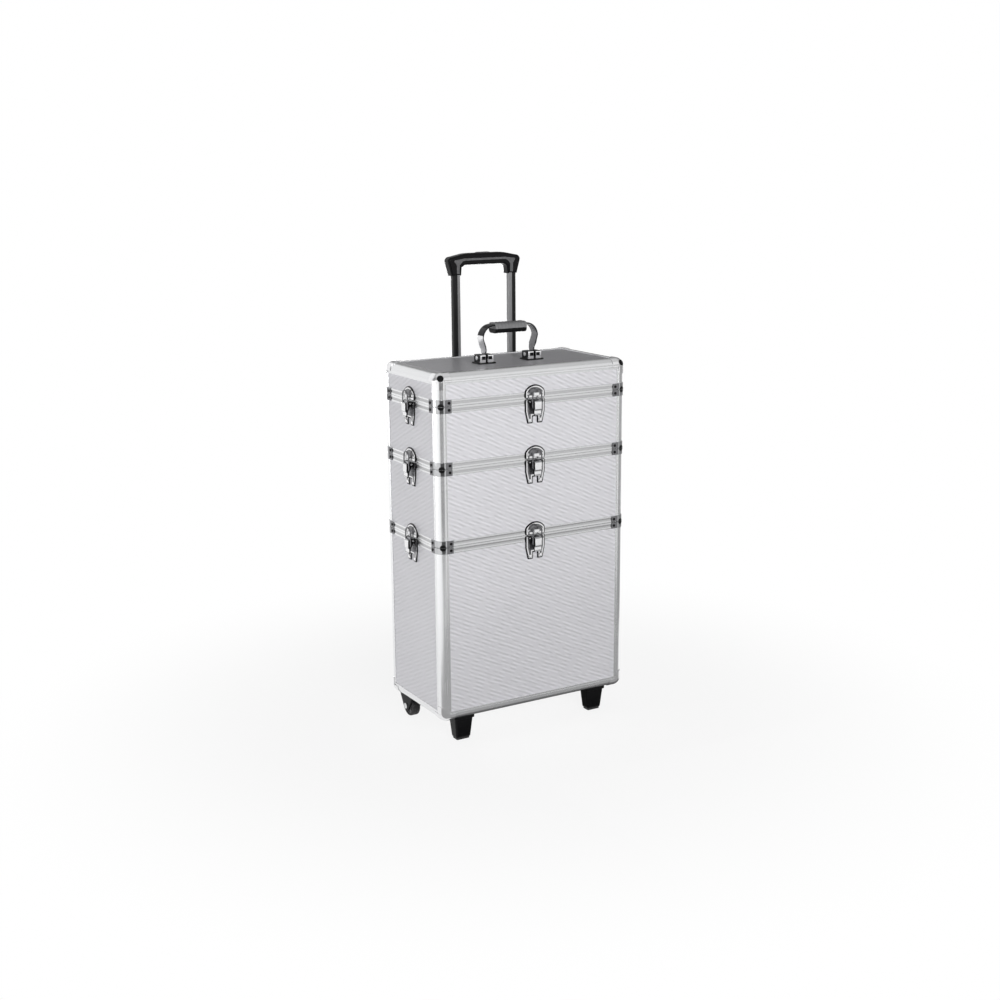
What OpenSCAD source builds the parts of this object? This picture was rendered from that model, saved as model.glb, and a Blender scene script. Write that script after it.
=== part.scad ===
// Rolling makeup case: two tiers and a lid stacked on a wheeled bin, with a trolley handle behind.
// Millimetres, +Z up, front -Y, right +X. Origin on the floor under the middle of the case body.

/* [Case] */
// Outside width across the edge rails
case_w = 350; // [320:1:400]
// Outside depth across the edge rails
case_d = 184; // [176:1:240]
// Height of the bottom bin
bin_h = 290; // [240:1:340]
// Height of the middle tier
middle_h = 125; // [110:1:160]
// Height of the upper tier
upper_h = 98; // [94:1:130]
// Height of the lid
lid_h = 51; // [50:1:70]
// Thickness of the wall, lid and floor panels
panel_t = 7; // [6:0.5:8]

/* [Edges and rims] */
// Outer rounding radius of the edge rails
edge_r = 13; // [12:0.5:15]
// How far a rail's flange reaches along each face from the corner
edge_leg = 17; // [16:0.5:20]
// How far rails and rims stand proud of the panels
trim_t = 1.2; // [1:0.1:1.5]
// Height of each rim on either side of a seam
rim_h = 10.5; // [9:0.5:12]
// Thickness of the rim across the panel's edge
rim_cap = 4; // [3.5:0.25:5]
// Width of the tongue under each upper rim
tongue_w = 2.4; // [2:0.2:3]
// Height of the tongue under each upper rim
tongue_h = 2; // [1.5:0.25:2.5]
// Sheet thickness of the corner brackets and ball corners
bracket_t = 1.2; // [1:0.1:1.5]
// Length of a corner bracket's legs from the corner
bracket_leg = 25; // [22:1:28]
// How far the ball corners reach over the rails
ball_leg = 8; // [7:0.5:10]

/* [Latches] */
// Width of the latch plates
latch_w = 37; // [34:1:40]
// Height of the strike plate above the seam
strike_h = 22; // [21:0.5:24]
// Height of the base plate below the seam
latch_h = 40; // [36:1:44]
// Sheet thickness of the latch plates
latch_t = 1.5; // [1.2:0.1:1.8]
// Distance of the lever's pivot out from the rim
pivot_out = 5.2; // [5:0.1:6]
// Depth of the lever's pivot below the seam
pivot_drop = 4; // [3.5:0.25:4.5]
// Radius of the lever's pivot pin
pivot_r = 1.4; // [1.2:0.1:1.5]
// Width of the lever
lever_w = 13; // [11:0.5:14]
// Length of the lever below its pivot
lever_len = 22; // [20:0.5:24]
// Distance from the lever's pivot down to the loop's pivot
loop_drop = 10; // [9:0.5:11]
// Distance from the lever's pivot out to the loop's pivot
loop_out = 3; // [2.8:0.1:3.4]
// Radius of the loop's end pins
loop_pin_r = 1.1; // [0.9:0.1:1.2]
// Width of the loop's bar
loop_bar = 2.4; // [2:0.1:2.6]
// Height of the loop's arch above the seam
loop_rise = 17; // [16:0.5:18]

/* [Carry handle] */
// Height of the grip's top above the lid
handle_rise = 63; // [60:1:72]
// Distance of the carry handle in front of the lid's middle
handle_forward = 10; // [0:1:20]
// Length of the grip
handle_grip_l = 58; // [54:1:62]
// Depth of the grip from front to back
handle_grip_d = 24; // [22:1:26]
// Thickness of the grip
handle_grip_t = 17; // [16:1:19]
// Rounding radius of the grip's long edges
handle_grip_r = 6; // [5:0.5:7]
// Distance between the handle brackets' centres
handle_span = 90; // [84:1:100]
// Thickness of the handle's strap
strap_t = 2.2; // [1.8:0.1:2.6]
// Width of the handle's strap
strap_w = 18; // [15:0.5:18.5]
// Depth of the strap below the grip's top
strap_cover = 2.5; // [2:0.25:4]
// Radius of the strap's bend at each end of the grip
strap_bend = 22; // [20:0.5:23]
// Height of the handle's pivot above the lid
handle_pivot = 8; // [7.5:0.25:9]
// Radius of the handle's pivot pins
handle_pin_r = 2.5; // [2:0.1:3]

/* [Trolley handle] */
// Sideways place of the trolley handle's middle on the back
trolley_x = 18; // [0:1:24]
// Distance between the tubes' centres
tube_span = 107; // [96:1:116]
// Width of the sliding tubes
tube_w = 14; // [12:0.5:16]
// Depth of the sliding tubes
tube_d = 10; // [9:0.5:12]
// Wall thickness of all trolley tubes
tube_wall = 1.2; // [1:0.1:1.5]
// Height of the extended grip's top above the lid
trolley_rise = 167; // [150:1:200]
// Width of the trolley grip
trolley_grip_w = 138; // [132:1:144]
// Thickness of the trolley grip's bar
trolley_bar_t = 19; // [17:1:21]
// Depth of the trolley grip from front to back
trolley_grip_d = 18; // [17:0.5:20]
// How far the grip's shoulders slope in from each end
shoulder_w = 30; // [26:1:34]
// How far the shoulders drop over that slope
shoulder_h = 5; // [4:0.5:6]
// Rounding radius at the grip's ends
shoulder_r = 8; // [6:0.5:9]
// Length of the sleeves below the grip's bar
trolley_sleeve = 17; // [15:1:20]
// How far the handle slides down to its folded place
trolley_travel = 150; // [130:1:155]
// Travel of the release button
button_travel = 3; // [2:0.5:3.5]

/* [Feet and wheels] */
// Distance between the front feet's centres
foot_span = 256; // [230:1:270]
// Distance of the feet's centres from the front of the case
foot_in = 24; // [20:1:30]
// Width of a foot where it meets the bin
foot_w = 34; // [30:1:38]
// Depth of a foot where it meets the bin
foot_d = 26; // [22:1:30]
// Width and depth lost to a foot's taper at the floor
foot_taper = 8; // [6:1:12]
// Radius of the wheels
wheel_r = 18; // [16:0.5:18.5]
// Width of the wheels
wheel_w = 15; // [12:0.5:16]
// Thickness of the rubber tyre
tyre_t = 4; // [3:0.5:5]
// Gap between the top of a wheel and the plate of its fork
wheel_clear = 1.75; // [1:0.25:4]
// Distance between the wheels' centres
wheel_span = 300; // [280:1:306]
// Distance of the axles from the back of the case
wheel_in = 26; // [25:1:32]
// Radius of the axles
axle_r = 3; // [2.5:0.25:3.5]

/* [Inside] */
// Thickness of the lining
lining_t = 2; // [1.5:0.5:3]
// Height of the dividers in the middle tier
divider_h = 78; // [60:1:86]
// Thickness of the dividers
divider_t = 5; // [4:0.5:6]
// Height of the lift-out tray
tray_h = 32; // [28:1:36]
// Wall thickness of the lift-out tray
tray_t = 2; // [1.5:0.25:2.5]
// Thickness of the foam pad in the lid
lid_pad_t = 5; // [4:0.5:6]

/* [Hidden] */
$fn = 48;
eps = 0.01;
// Clearances: fixed fit, running fit of a pin, and free gap between moving pieces
fit_gap = 0.05;
run_gap = 0.05;
free_gap = 0.4;
// The forks end just under the ball corners, and the bin stands as high as they need
fork_top = 3;
fork_z = 2 * wheel_r + wheel_clear + fork_top;
floor_gap = fork_z + bracket_t + fit_gap;
// Heights of the seams from the floor up
bin_z = floor_gap;
seam_low = bin_z + bin_h;
seam_mid = seam_low + middle_h;
seam_top = seam_mid + upper_h;
lid_z = seam_top + lid_h;
// Wall build-up: rail flange, panel, inner rim flange
wall_t = panel_t + 2 * trim_t;
lining_in = trim_t + panel_t + lining_t;
groove_w = tongue_w + 2 * free_gap;
groove_d = tongue_h + free_gap;
// Latch: half widths from the middle outwards
lever_half = lever_w / 2;
arm_in = lever_half + 0.5;
arm_out = arm_in + loop_bar;
ear_in = arm_out + 0.6;
ear_t = 2;
ear_r = pivot_r + 1.2;
knuckle_r = pivot_out - latch_t - free_gap;
loop_y = -pivot_out - loop_out;
loop_z = -pivot_drop - loop_drop;
loop_t = 2.2;
nose_out = -loop_y - loop_t / 2 - free_gap;
nose_low = 4;
nose_high = 10;
nose_w = 2 * arm_in - 3;
seam_clear = 1;
pad_z = rim_h + 0.2;
lever_front = -loop_y + 3.4;
// Carry handle
bracket_w = 26;
bracket_d = 20;
bracket_h = handle_pivot + 5.5;
bracket_foot = 3;
bracket_base = 1;
bracket_web = 1;
strap_x = handle_span / 2;
eye_r = handle_pivot - 2.5;
strap_top = handle_rise - strap_cover;
bend_z = strap_top - strap_bend;
strap_flare = 7;
strap_knee = 12;
strap_taper = 18;
bend_x = strap_x + strap_flare - strap_bend;
slot_half = strap_t / 2 + free_gap;
// Trolley: the outer tube stands just clear of the rims
outer_w = tube_w + 2 * (tube_wall + free_gap);
outer_d = tube_d + 2 * (tube_wall + free_gap);
back_gap = 0.8;
tube_y = case_d / 2 + back_gap + outer_d / 2;
// Corner radii of the tubes, outside and inside
tube_round = 2.5;
tube_bore_round = 1.5;
outer_round = 3;
outer_bore_round = 2;
grip_top = lid_z + trolley_rise;
bar_low = grip_top - trolley_bar_t;
sleeve_low = bar_low - trolley_sleeve;
grip_gap = 1.4;
grip_front = case_d / 2 + grip_gap;
grip_mid = grip_front + trolley_grip_d / 2;
tube_in_bar = 4;
tube_top = bar_low + tube_in_bar;
tube_end_gap = 4;
outer_low = bin_z + edge_leg + tube_end_gap;
rim_clear = 2;
outer_high = seam_low - rim_h - rim_clear;
tube_low = outer_low + trolley_travel + tube_end_gap;
clamp_h = 24;
clamp_end = 1;
clamp_side = 6;
clamp_wall = 3;
clamp_back = tube_y + outer_d / 2 + clamp_wall;
// Release bar in the grip's cavity
bar_gap = 6;
rod_r = 2;
button_w = 26;
button_d = 9;
button_round = 4;
button_proud = 1;
// Wheels
wheel_x = wheel_span / 2;
wheel_y = case_d / 2 - wheel_in;
wheel_side_gap = 0.7;
fork_gap = wheel_w / 2 + wheel_side_gap;
fork_t = 3;
fork_reach = 5;
cheek_side = 7;
cheek_drop = 6;
cheek_half = axle_r + cheek_side;
cheek_low = wheel_r - axle_r - cheek_drop;
// Inside
floor_t = 4;
tray_gap = 1.5;
tray_drop = 5;
tray_top = seam_top - tray_drop;
tray_low = tray_top - tray_h;
tray_w = case_w - 2 * edge_r - 2 * tray_gap;
tray_d = case_d - 2 * edge_r - 2 * tray_gap;
ledge_w = 9;
ledge_t = 4;
divider_x = case_w / 6;

// Rounded rectangle about the origin
module rounded_rect(w, d, r) {
  square([w - 2 * r, d], center = true);
  for (s = [-1, 1]) {
    translate([s * (w - r) / 2, 0]) square([r, d - 2 * r], center = true);
    for (t = [-1, 1])
      translate([s * (w / 2 - r), t * (d / 2 - r)])
        intersection() {
          circle(r = r);
          translate([s > 0 ? 0 : -r, t > 0 ? 0 : -r]) square(r);
        }
  }
}

// Quarter disc filling the corner at the origin, and its ring
module quarter_disc(r) {
  intersection() {
    translate([edge_r, edge_r]) circle(r = r);
    translate([edge_r - r, edge_r - r]) square(r);
  }
}

module quarter_ring(outer_r, inner_r) {
  difference() {
    quarter_disc(outer_r);
    translate([edge_r, edge_r]) circle(r = inner_r);
  }
}

// Edge rail: rounded corner with a thin flange along both faces
module rail_profile() {
  quarter_disc(edge_r);
  translate([edge_r, 0]) square([edge_leg - edge_r, trim_t]);
  translate([0, edge_r]) square([trim_t, edge_leg - edge_r]);
}

// Children stand at the front left corner and are repeated at all four
module each_corner() {
  for (sx = [0, 1], sy = [0, 1])
    mirror([sx, 0, 0])
      mirror([0, sy, 0])
        translate([-case_w / 2, -case_d / 2, 0]) children();
}

// Extrudes a profile (x inwards, y up) along the four sides at a height
module bars_around(z, clear) {
  for (s = [0, 1])
    mirror([0, s, 0])
      translate([-case_w / 2 + clear, -case_d / 2, z])
        rotate([90, 0, 90]) linear_extrude(case_w - 2 * clear) children();
  for (s = [0, 1])
    mirror([s, 0, 0])
      translate([-case_w / 2, case_d / 2 - clear, z])
        rotate([90, 0, 0]) linear_extrude(case_d - 2 * clear) children();
}

module corner_posts(low, high) {
  each_corner() translate([0, 0, low]) linear_extrude(high - low) rail_profile();
}

// Channel over the top edge of a section's panels, grooved along its middle
module top_rim_profile() {
  difference() {
    translate([0, -rim_h]) square([wall_t, rim_h]);
    translate([trim_t, -rim_h]) square([panel_t, rim_h - rim_cap]);
    translate([(wall_t - groove_w) / 2, -groove_d]) square([groove_w, groove_d]);
  }
}

// Channel under the panels, with the tongue that drops into the groove below
module bottom_rim_profile() {
  difference() {
    square([wall_t, rim_h]);
    translate([trim_t, rim_cap]) square([panel_t, rim_h - rim_cap]);
  }
  translate([(wall_t - tongue_w) / 2, -tongue_h]) square([tongue_w, tongue_h]);
}

// Four wall panels between two heights
module walls(low, high) {
  bars_around(low, edge_r) translate([trim_t, 0]) square([panel_t, high - low]);
}

// Flat sheet inside the walls, notched for the corner rails
module tier_floor(low, thick, inset) {
  difference() {
    translate([-case_w / 2 + inset, -case_d / 2 + inset, low])
      cube([case_w - 2 * inset, case_d - 2 * inset, thick]);
    each_corner() translate([-eps, -eps, low - eps])
      cube([edge_r + fit_gap + eps, edge_r + fit_gap + eps, thick + 2 * eps]);
  }
}

// Lining sheets on the four walls
module wall_lining(low, high) {
  bars_around(low, edge_r) translate([trim_t + panel_t, 0]) square([lining_t, high - low]);
}

// Sheet bracket wrapped round a corner, with a rivet on each leg
module corner_bracket(low, high) {
  rivet_r = 2.2;
  rivet_t = 0.8;
  rivet_in = bracket_leg - 4.5;
  each_corner() {
    translate([0, 0, low]) linear_extrude(high - low) {
      quarter_ring(edge_r + bracket_t, edge_r + fit_gap);
      translate([edge_r, -bracket_t]) square([bracket_leg - edge_r, bracket_t - fit_gap]);
      translate([-bracket_t, edge_r]) square([bracket_t - fit_gap, bracket_leg - edge_r]);
    }
    translate([rivet_in, -bracket_t + fit_gap, (low + high) / 2])
      rotate([90, 0, 0]) cylinder(r = rivet_r, h = rivet_t);
    translate([-bracket_t + fit_gap, rivet_in, (low + high) / 2])
      rotate([0, -90, 0]) cylinder(r = rivet_r, h = rivet_t);
  }
}

// Solid ball corner for an upper corner at the origin, reaching over three rails
module ball_corner() {
  outer_r = edge_r + bracket_t;
  arm = edge_leg - edge_r;
  translate([edge_r, edge_r, -edge_r]) {
    rotate([0, 0, 180]) rotate_extrude(angle = 90)
      intersection() {
        circle(r = outer_r);
        square(outer_r);
      }
  }
  for (k = [0 : 2]) ball_leg_along(k) {
    linear_extrude(arm) quarter_disc(outer_r);
    translate([0, 0, arm])
      linear_extrude(ball_leg) quarter_ring(outer_r, edge_r + fit_gap);
  }
}

// Turns an extrusion from the corner to run down, along X or along Y
module ball_leg_along(k) {
  if (k == 0) translate([0, 0, -edge_r]) mirror([0, 0, 1]) children();
  if (k == 1) translate([edge_r, 0, 0]) rotate([90, 0, 90]) mirror([0, 1, 0]) children();
  if (k == 2) translate([0, edge_r, 0]) mirror([0, 1, 0]) rotate([90, 0, 0])
      mirror([0, 1, 0]) children();
}

// Places a latch at a seam on the front, left or right face
module latch_at(side, z) {
  if (side == "front") translate([0, -case_d / 2, z]) children();
  if (side == "left") translate([-case_w / 2, 0, z]) rotate([0, 0, -90]) children();
  if (side == "right") translate([case_w / 2, 0, z]) rotate([0, 0, 90]) children();
}

// Sheet cut to an outline in X and Z, its back on the rim's face
module sheet_xz(thick) {
  rotate([90, 0, 0]) linear_extrude(thick) children();
}

// Base plate outline: wide at the seam, narrowing to two rivet legs
module latch_outline() {
  neck_z = -latch_h / 2;
  foot_x = latch_w / 2 - 4.5;
  leg_gap = 4;
  leg_h = 11;
  polygon([
    [-latch_w / 2, neck_z], [-foot_x, -latch_h], [-leg_gap, -latch_h],
    [-leg_gap, -latch_h + leg_h], [leg_gap, -latch_h + leg_h], [leg_gap, -latch_h],
    [foot_x, -latch_h], [latch_w / 2, neck_z],
    [latch_w / 2, -seam_clear], [-latch_w / 2, -seam_clear]
  ]);
}

// Strike plate outline: an arch above the seam
module strike_outline() {
  shoulder = 12;
  arch_r = (latch_w * latch_w / 4 + (strike_h - shoulder) * (strike_h - shoulder))
    / (2 * (strike_h - shoulder));
  intersection() {
    translate([-latch_w / 2, seam_clear]) square([latch_w, strike_h]);
    translate([0, strike_h - arch_r]) circle(r = arch_r);
  }
}

module latch_base() {
  rivet_x = latch_w / 4 + 0.5;
  rivet_up = 5.5;
  rivet_r = 3;
  rivet_t = 1.2;
  sheet_xz(latch_t) latch_outline();
  // Packing behind the plate where the panel lies deeper than the rim
  translate([0, trim_t, 0]) sheet_xz(trim_t) intersection() {
    latch_outline();
    translate([-latch_w, -2 * latch_h]) square([2 * latch_w, 2 * latch_h - pad_z]);
  }
  // Ears with the lever's pivot pin
  for (s = [-1, 1])
    translate([s * (ear_in + ear_t / 2), 0, 0])
      rotate([90, 0, 90]) translate([0, 0, -ear_t / 2]) linear_extrude(ear_t) {
        translate([-pivot_out, -pivot_drop]) circle(r = ear_r);
        translate([-pivot_out, -pivot_drop - ear_r]) square([pivot_out - latch_t, 2 * ear_r]);
      }
  translate([-ear_in - ear_t / 2, -pivot_out, -pivot_drop])
    rotate([0, 90, 0]) cylinder(r = pivot_r, h = 2 * ear_in + ear_t);
  // Rivet heads in the two legs
  for (s = [-1, 1])
    translate([s * rivet_x, -latch_t, -latch_h + rivet_up])
      rotate([90, 0, 0]) cylinder(r = rivet_r, h = rivet_t);
}

module latch_strike() {
  rivet_in = 6;
  rivet_up = 8;
  rivet_r = 2.4;
  rivet_t = 1;
  sheet_xz(latch_t) strike_outline();
  translate([0, trim_t, 0]) sheet_xz(trim_t) intersection() {
    strike_outline();
    translate([-latch_w, pad_z]) square([2 * latch_w, strike_h]);
  }
  // Nose that the loop bears on
  translate([-nose_w / 2, -nose_out, nose_low])
    cube([nose_w, nose_out - latch_t, nose_high - nose_low]);
  for (s = [-1, 1])
    translate([s * (latch_w / 2 - rivet_in), -latch_t, rivet_up])
      rotate([90, 0, 0]) cylinder(r = rivet_r, h = rivet_t);
}

// Lever: a proud flat face over both pivots, with a finger lip at its foot
module latch_lever() {
  foot = -pivot_drop - lever_len;
  lever_top = -pivot_drop + 0.8;
  face_y = -lever_front;
  face_low = loop_z - 2.6;
  step_y = face_y + 1.8;
  step_low = face_low - 2;
  lip_h = 2.4;
  soft = 0.4;
  back_in = 4;
  difference() {
    translate([-lever_half, 0, 0])
      rotate([90, 0, 90]) linear_extrude(lever_w) {
        translate([-pivot_out, -pivot_drop]) circle(r = knuckle_r);
        polygon([
          [-pivot_out, -pivot_drop + knuckle_r], [face_y + soft, lever_top],
          [face_y, lever_top - 2 * soft], [face_y, face_low],
          [step_y, step_low], [step_y, foot + lip_h],
          [face_y + soft / 2, foot + 2 * soft], [face_y + 2 * soft, foot],
          [loop_y + soft, foot], [loop_y + back_in * soft, loop_z - back_in],
          [-pivot_out + knuckle_r - soft, loop_z + back_in], [-pivot_out, -pivot_drop]
        ]);
      }
    translate([-lever_w, -pivot_out, -pivot_drop])
      rotate([0, 90, 0]) cylinder(r = pivot_r + run_gap, h = 2 * lever_w);
    translate([-lever_w, loop_y, loop_z])
      rotate([0, 90, 0]) cylinder(r = loop_pin_r + run_gap, h = 2 * lever_w);
  }
}

// Loop: an arched bar whose two end pins turn in the lever
module latch_loop() {
  pin_in = 3.5;
  arch_z = loop_rise - arm_out;
  translate([0, loop_y + loop_t / 2, 0]) sheet_xz(loop_t) {
    difference() {
      translate([0, arch_z]) circle(r = arm_out);
      translate([0, arch_z]) circle(r = arm_in);
      translate([-2 * arm_out, arch_z - 2 * arm_out]) square([4 * arm_out, 2 * arm_out]);
    }
    for (s = [-1, 1])
      translate([s > 0 ? arm_in : -arm_out, loop_z - loop_t / 2])
        square([loop_bar, arch_z - loop_z + loop_t / 2]);
  }
  for (s = [-1, 1])
    translate([s > 0 ? arm_in - pin_in : -arm_in, loop_y, loop_z])
      rotate([0, 90, 0]) cylinder(r = loop_pin_r, h = pin_in);
}

module latch_bases(z) {
  for (side = ["front", "left", "right"]) latch_at(side, z) latch_base();
}

module latch_strikes(z) {
  for (side = ["front", "left", "right"]) latch_at(side, z) latch_strike();
}

module lever(side, z) color([0.86, 0.87, 0.88]) latch_at(side, z) latch_lever();
module loop(side, z) color([0.80, 0.81, 0.82]) latch_at(side, z) latch_loop();

// Bottom bin
module base_panels() color([0.80, 0.80, 0.81]) {
  walls(bin_z + edge_r, seam_low - rim_cap);
  translate([-case_w / 2 + edge_r, -case_d / 2 + edge_r, bin_z + trim_t])
    cube([case_w - 2 * edge_r, case_d - 2 * edge_r, panel_t]);
}

module base_edges() color([0.86, 0.87, 0.88]) {
  corner_posts(bin_z + edge_leg, seam_low - free_gap / 2);
  bars_around(bin_z, edge_leg) rail_profile();
}

module base_rim() color([0.84, 0.85, 0.86])
  bars_around(seam_low, edge_leg) top_rim_profile();

module base_corner_fittings() color([0.90, 0.91, 0.92]) {
  corner_bracket(seam_low - rim_h, seam_low - free_gap);
  each_corner() translate([0, 0, bin_z]) mirror([0, 0, 1]) ball_corner();
}

module base_lining() color([0.10, 0.10, 0.11]) {
  floor_top = bin_z + trim_t + panel_t;
  wall_lining(bin_z + edge_r, seam_low - rim_h);
  translate([-case_w / 2 + edge_r, -case_d / 2 + edge_r, floor_top])
    cube([case_w - 2 * edge_r, case_d - 2 * edge_r, lining_t]);
}

module base_latch_plates() color([0.90, 0.91, 0.92]) latch_bases(seam_low);

// Pad that fills the step from the rails to the floor panel, over a foot or fork
module floor_pad(w, d, low) {
  intersection() {
    translate([-w / 2, -d / 2, low]) cube([w, d, floor_gap + trim_t - low]);
    children();
  }
}

module inside_rails() {
  translate([-case_w / 2 + edge_leg, -case_d / 2 + edge_leg, 0])
    cube([case_w - 2 * edge_leg, case_d - 2 * edge_leg, 2 * floor_gap]);
}

// Front feet: tapered both ways towards the floor
module front_feet() color([0.05, 0.05, 0.055])
  for (s = [-1, 1])
    translate([s * foot_span / 2, -case_d / 2 + foot_in, 0]) {
      floor_pad(foot_w, foot_d, floor_gap)
        translate([-s * foot_span / 2, case_d / 2 - foot_in, 0]) inside_rails();
      intersection() {
        translate([0, foot_d, 0]) rotate([90, 0, 0]) linear_extrude(2 * foot_d)
          polygon([
            [-(foot_w - foot_taper) / 2, 0], [(foot_w - foot_taper) / 2, 0],
            [foot_w / 2, floor_gap], [-foot_w / 2, floor_gap]
          ]);
        translate([-foot_w, 0, 0]) rotate([90, 0, 90]) linear_extrude(2 * foot_w)
          polygon([
            [-(foot_d - foot_taper) / 2, 0], [(foot_d - foot_taper) / 2, 0],
            [foot_d / 2, floor_gap], [-foot_d / 2, floor_gap]
          ]);
      }
    }

// Tapered fork for each rear wheel
module wheel_housings() color([0.05, 0.05, 0.055])
  for (s = [-1, 1])
    translate([s * wheel_x, wheel_y, 0]) {
      fork_half = fork_gap + fork_t;
      top_half = wheel_r + fork_reach;
      floor_pad(2 * fork_half, 2 * top_half, fork_z)
        translate([-s * wheel_x, -wheel_y, 0]) inside_rails();
      translate([-fork_half, -top_half, fork_z - fork_top])
        cube([2 * fork_half, 2 * top_half, fork_top]);
      for (x = [-fork_half, fork_gap])
        translate([x, 0, 0]) rotate([90, 0, 90]) linear_extrude(fork_t)
          difference() {
            polygon([
              [-cheek_half, cheek_low], [cheek_half, cheek_low],
              [top_half, fork_z - fork_top], [-top_half, fork_z - fork_top]
            ]);
            translate([0, wheel_r]) circle(r = axle_r + fit_gap);
          }
    }

module wheel_axles() color([0.72, 0.73, 0.74])
  for (s = [-1, 1])
    translate([s * wheel_x, wheel_y, wheel_r]) {
      head_t = 1.5;
      head_r = axle_r + 2;
      axle_half = fork_gap + fork_t;
      translate([-axle_half, 0, 0])
        rotate([0, 90, 0]) cylinder(r = axle_r, h = 2 * axle_half);
      for (t = [-1, 1])
        translate([t > 0 ? axle_half : -axle_half - head_t, 0, 0])
          rotate([0, 90, 0]) cylinder(r = head_r, h = head_t);
    }

module wheel(s) color([0.22, 0.22, 0.23]) {
  hub_wall = 3;
  hub_proud = 1.5;
  translate([s * wheel_x, wheel_y, wheel_r]) rotate([0, 90, 0])
    difference() {
      union() {
        cylinder(r = wheel_r - tyre_t, h = wheel_w - 2 * hub_proud, center = true);
        cylinder(r = axle_r + hub_wall, h = wheel_w, center = true);
      }
      cylinder(r = axle_r + run_gap, h = 2 * wheel_w, center = true);
    }
}

module tyre(s) color([0.03, 0.03, 0.032]) {
  shoulder = 1.5;
  tread = tyre_t - fit_gap;
  translate([s * wheel_x, wheel_y, wheel_r]) rotate([0, 90, 0])
    rotate_extrude()
      translate([wheel_r - tread, -wheel_w / 2]) polygon([
        [0, 0], [tread - shoulder, 0], [tread, shoulder],
        [tread, wheel_w - shoulder], [tread - shoulder, wheel_w], [0, wheel_w]
      ]);
}

module wheel_left() wheel(-1);
module wheel_right() wheel(1);
module tyre_left() tyre(-1);
module tyre_right() tyre(1);

// Trolley handle on the back
module each_tube() {
  for (s = [-1, 1]) translate([trolley_x + s * tube_span / 2, tube_y, 0]) children();
}

module trolley_outer_tubes() color([0.08, 0.08, 0.085])
  each_tube() translate([0, 0, outer_low]) linear_extrude(outer_high - outer_low)
    difference() {
      rounded_rect(outer_w, outer_d, outer_round);
      rounded_rect(outer_w - 2 * tube_wall, outer_d - 2 * tube_wall, outer_bore_round);
    }

// Two blocks on the bin's back hold both outer tubes
module trolley_clamps() color([0.06, 0.06, 0.065])
  for (low = [outer_low + clamp_end, outer_high - clamp_h - clamp_end])
    difference() {
      clamp_w = tube_span + outer_w + 2 * clamp_side;
      translate([trolley_x - clamp_w / 2, case_d / 2 - trim_t, low])
        cube([clamp_w, clamp_back - case_d / 2 + trim_t, clamp_h]);
      each_tube() translate([0, 0, low - eps]) linear_extrude(clamp_h + 2 * eps)
        rounded_rect(outer_w + 2 * fit_gap, outer_d + 2 * fit_gap, outer_round + fit_gap);
    }

module trolley_tubes() color([0.12, 0.12, 0.13])
  each_tube() translate([0, 0, tube_low]) linear_extrude(tube_top - tube_low)
    difference() {
      rounded_rect(tube_w, tube_d, tube_round);
      rounded_rect(tube_w - 2 * tube_wall, tube_d - 2 * tube_wall, tube_bore_round);
    }

// Grip with a sleeve over each tube, hollow along its middle for the release bar
module trolley_grip() color([0.05, 0.05, 0.055])
  difference() {
    translate([trolley_x, grip_front + trolley_grip_d, 0])
      sheet_xz(trolley_grip_d) trolley_grip_outline();
    each_tube() translate([0, 0, sleeve_low - eps])
      linear_extrude(tube_top - sleeve_low + eps)
        rounded_rect(tube_w + 2 * fit_gap, tube_d + 2 * fit_gap, tube_round + fit_gap);
    release_cavity();
    translate([trolley_x, grip_mid, tube_top])
      linear_extrude(trolley_bar_t)
        rounded_rect(button_w + 2 * free_gap, button_d + 2 * free_gap, button_round);
  }

// Outline of the grip seen from the front: a bar with sloped shoulders, and a sleeve at each end
module trolley_grip_outline() {
  sleeve_wall = 2;
  sleeve_out = tube_span / 2 + tube_w / 2 + sleeve_wall;
  sleeve_in = tube_span / 2 - tube_w / 2 - sleeve_wall;
  sleeve_flare = 4;
  end_x = trolley_grip_w / 2 - shoulder_r;
  end_z = grip_top - shoulder_h - shoulder_r;
  half = concat(
    [[sleeve_in - sleeve_flare, bar_low], [sleeve_in, sleeve_low], [sleeve_out, sleeve_low]],
    [for (a = [0 : 15 : 90]) [end_x + shoulder_r * cos(a), end_z + shoulder_r * sin(a)]],
    [[trolley_grip_w / 2 - shoulder_w, grip_top]]
  );
  last = len(half) - 1;
  polygon(concat(half, [for (k = [0 : last]) [-half[last - k][0], half[last - k][1]]]));
}

module release_cavity() {
  cavity_half = rod_r + 1;
  translate([
    trolley_x - tube_span / 2 - cavity_half, tube_y - cavity_half, tube_top - eps
  ])
    cube([tube_span + 2 * cavity_half, 2 * cavity_half, bar_gap + button_travel]);
}

// Push button, its stem, the release bar in the grip and the two lock rods
module trolley_button() color([0.20, 0.20, 0.21]) {
  bar_z = tube_top + button_travel;
  bar_top = bar_z + bar_gap - 1;
  rod_up = 12;
  translate([trolley_x, grip_mid, bar_z])
    linear_extrude(grip_top + button_proud - bar_z)
      rounded_rect(button_w, button_d, button_round - free_gap);
  translate([trolley_x - tube_span / 2 - rod_r, tube_y - rod_r, bar_z])
    cube([tube_span + 2 * rod_r, 2 * rod_r, bar_top - bar_z]);
  each_tube() translate([0, 0, tube_low + rod_up])
    cylinder(r = rod_r, h = bar_top - tube_low - rod_up);
}

// Middle tier
module middle_panels() color([0.80, 0.80, 0.81]) {
  walls(seam_low + rim_cap, seam_mid - rim_cap);
  tier_floor(seam_low + rim_cap, floor_t, wall_t);
}

module middle_posts() color([0.86, 0.87, 0.88])
  corner_posts(seam_low + free_gap / 2, seam_mid - free_gap / 2);

module middle_rims() color([0.84, 0.85, 0.86]) {
  bars_around(seam_low, edge_leg) bottom_rim_profile();
  bars_around(seam_mid, edge_leg) top_rim_profile();
}

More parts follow.
